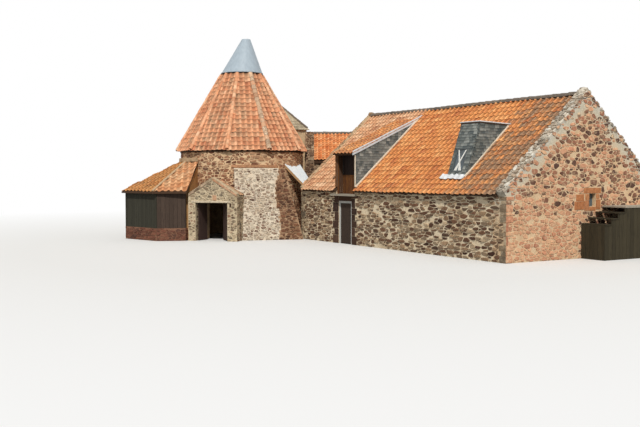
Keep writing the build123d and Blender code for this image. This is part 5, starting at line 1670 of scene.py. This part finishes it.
start, end = (*lean_eave[1], LEAN_EAVE_Z), (*lean_top[1], LEAN_TOP_Z)
bar(pile, start, end, np.cross(np.subtract(end, start), UP), UP, 0.12, 0.045, segments=18, rough=0.2)
bearings = [math.atan2(y - KILN_Y, x - KILN_X) for x, y in lean_top]
for a0, a1 in zip(bearings, bearings[1:]):
    for i in range(8):
        t0, t1 = a0 + (a1 - a0) * i / 8, a0 + (a1 - a0) * (i + 1) / 8
        start, end = (around(math.degrees(t), KILN_R + 0.05, LEAN_TOP_Z - 0.06) for t in (t0, t1))
        mid = (t0 + t1) / 2
        bar(pile, start, end, (math.cos(mid), math.sin(mid), 0), UP, 0.12, 0.16, rough=0.08)
pile.make("lean_to_fillets", [VERGE])

for name, look, seed in (
    ("lean_to_front_boards", TARRED, 311), ("lean_to_side_boards", TARRED_GREEN, 321),
    ("lean_to_end_boards", TARRED_GREEN, 331),
):
    for number, (plane, loops, normal) in enumerate(wall_faces(name, least=0.5)):
        x, y, _ = plane.origin
        if normal.dot(Vector((x - KILN_X, y - KILN_Y, 0))) > 0:
            region = max(loops, key=lambda loop: abs(area_of(loop)))
            boards(pile, plane, region, 0.002, 0.024, seed=seed + number)
    pile.make(name + "_cladding", [look])
    dress(look, name)

# ---------------------------------------------------------------- platform

PLATFORM_BOARD = 0.18


def platform_outside(plane, normal):
    x, y, _ = plane.origin
    return (
        (normal.x > 0.9 and x > WEST + LENGTH + 0.99) or (normal.y < -0.9 and y < FRONT + 4)
        or (normal.y > 0.9 and y > FRONT + DEPTH - 0.01)
    )


for plane, loops, normal in wall_faces("platform_boarding", least=0.3):
    for loop in loops if platform_outside(plane, normal) else ():
        u0, _, u1, highest = extent(loop)
        for i in range(int((u1 - u0) / PLATFORM_BOARD) + 1):
            a, top = u0 + PLATFORM_BOARD * i, highest
            while top > 0.1 and not inside((a + 0.09, top - 0.01), [loop]):
                top -= 0.02
            b = min(a + 0.174, u1)
            if b - a > 0.03 and top > 0.15:
                board = rectangle(a + 0.003, 0.0, b, top)
                slab(pile, plane, board, 0.001, 0.012, draw.uniform(0.1, 0.8), 0.3, edge=0.003)
pile.make("platform_cladding", [BLACK_WOOD])

# ---------------------------------------------------------------- stage, light and camera

FLOOR, FLOOR_Z = 90, -0.002
mesh = bpy.data.meshes.new("floor")
corners = rectangle(-FLOOR, -FLOOR, FLOOR, FLOOR)
mesh.from_pydata([(x, y, FLOOR_Z) for x, y in corners], [], [(0, 1, 2, 3)])
look = Look("floor", rough=0.9, specular=0.1)
path = look.node("LightPath", {}).outputs
seen = look.sum("MAXIMUM", path["Is Camera Ray"], path["Is Glossy Ray"])
look.feed(look.shader, {"Base Color": look.mix(seen, (0.3, 0.3, 0.29, 1), (0.8, 0.8, 0.79, 1))})
length = look.node("VectorMath", {0: look.where}, operation="LENGTH").outputs["Value"]
far = look.sum("MULTIPLY", look.level(length, 13.0, 38.0), seen)
glow = look.node("Emission", {"Color": (1, 1, 1, 1)}).outputs[0]
floor_mix = look.node("MixShader", {0: far, 1: look.shader.outputs[0], 2: glow}).outputs[0]
look.feed(look.tree.nodes["Material Output"], {"Surface": floor_mix})
mesh.materials.append(look.material)
put("floor", mesh)

world = bpy.data.worlds.new("studio")
bpy.context.scene.world = world
world.use_nodes = True
world.node_tree.nodes.clear()
sky = Tree(world.node_tree)
ambient = sky.node("Background", {"Color": (0.96, 0.98, 1.0, 1), "Strength": 0.42}).outputs[0]
white = sky.node("Background", {"Color": (1, 1, 1, 1), "Strength": 1.0}).outputs[0]
path = sky.node("LightPath", {}).outputs
seen = sky.sum("MAXIMUM", path["Is Camera Ray"], path["Is Glossy Ray"])
seen = sky.sum("MAXIMUM", seen, path["Is Transmission Ray"])
backdrop = sky.node("MixShader", {0: seen, 1: ambient, 2: white}).outputs[0]
sky.node("OutputWorld", {"Surface": backdrop})

sun = bpy.data.lights.new("key", "SUN")
sun.energy, sun.angle, sun.color = 2.75, math.radians(3), (1.0, 0.97, 0.92)
camera = bpy.data.cameras.new("camera")
camera.sensor_width, camera.lens, camera.clip_start, camera.clip_end = 36, 48.94, 0.5, 400
towards_sun, lamp, eye = Vector((0.58, -0.36, 0.73)), put("key", sun), put("camera", camera)
aim = Vector((-0.8548, 0.5190, -math.tan(math.radians(2.494))))
lamp.rotation_mode = eye.rotation_mode = "QUATERNION"
lamp.rotation_quaternion = towards_sun.to_track_quat("Z", "Y")
eye.location, eye.rotation_quaternion = (30.05, -19.90, 2.83), aim.to_track_quat("-Z", "Y")
bpy.context.scene.camera = eye
bpy.context.scene.view_settings.view_transform = "Standard"
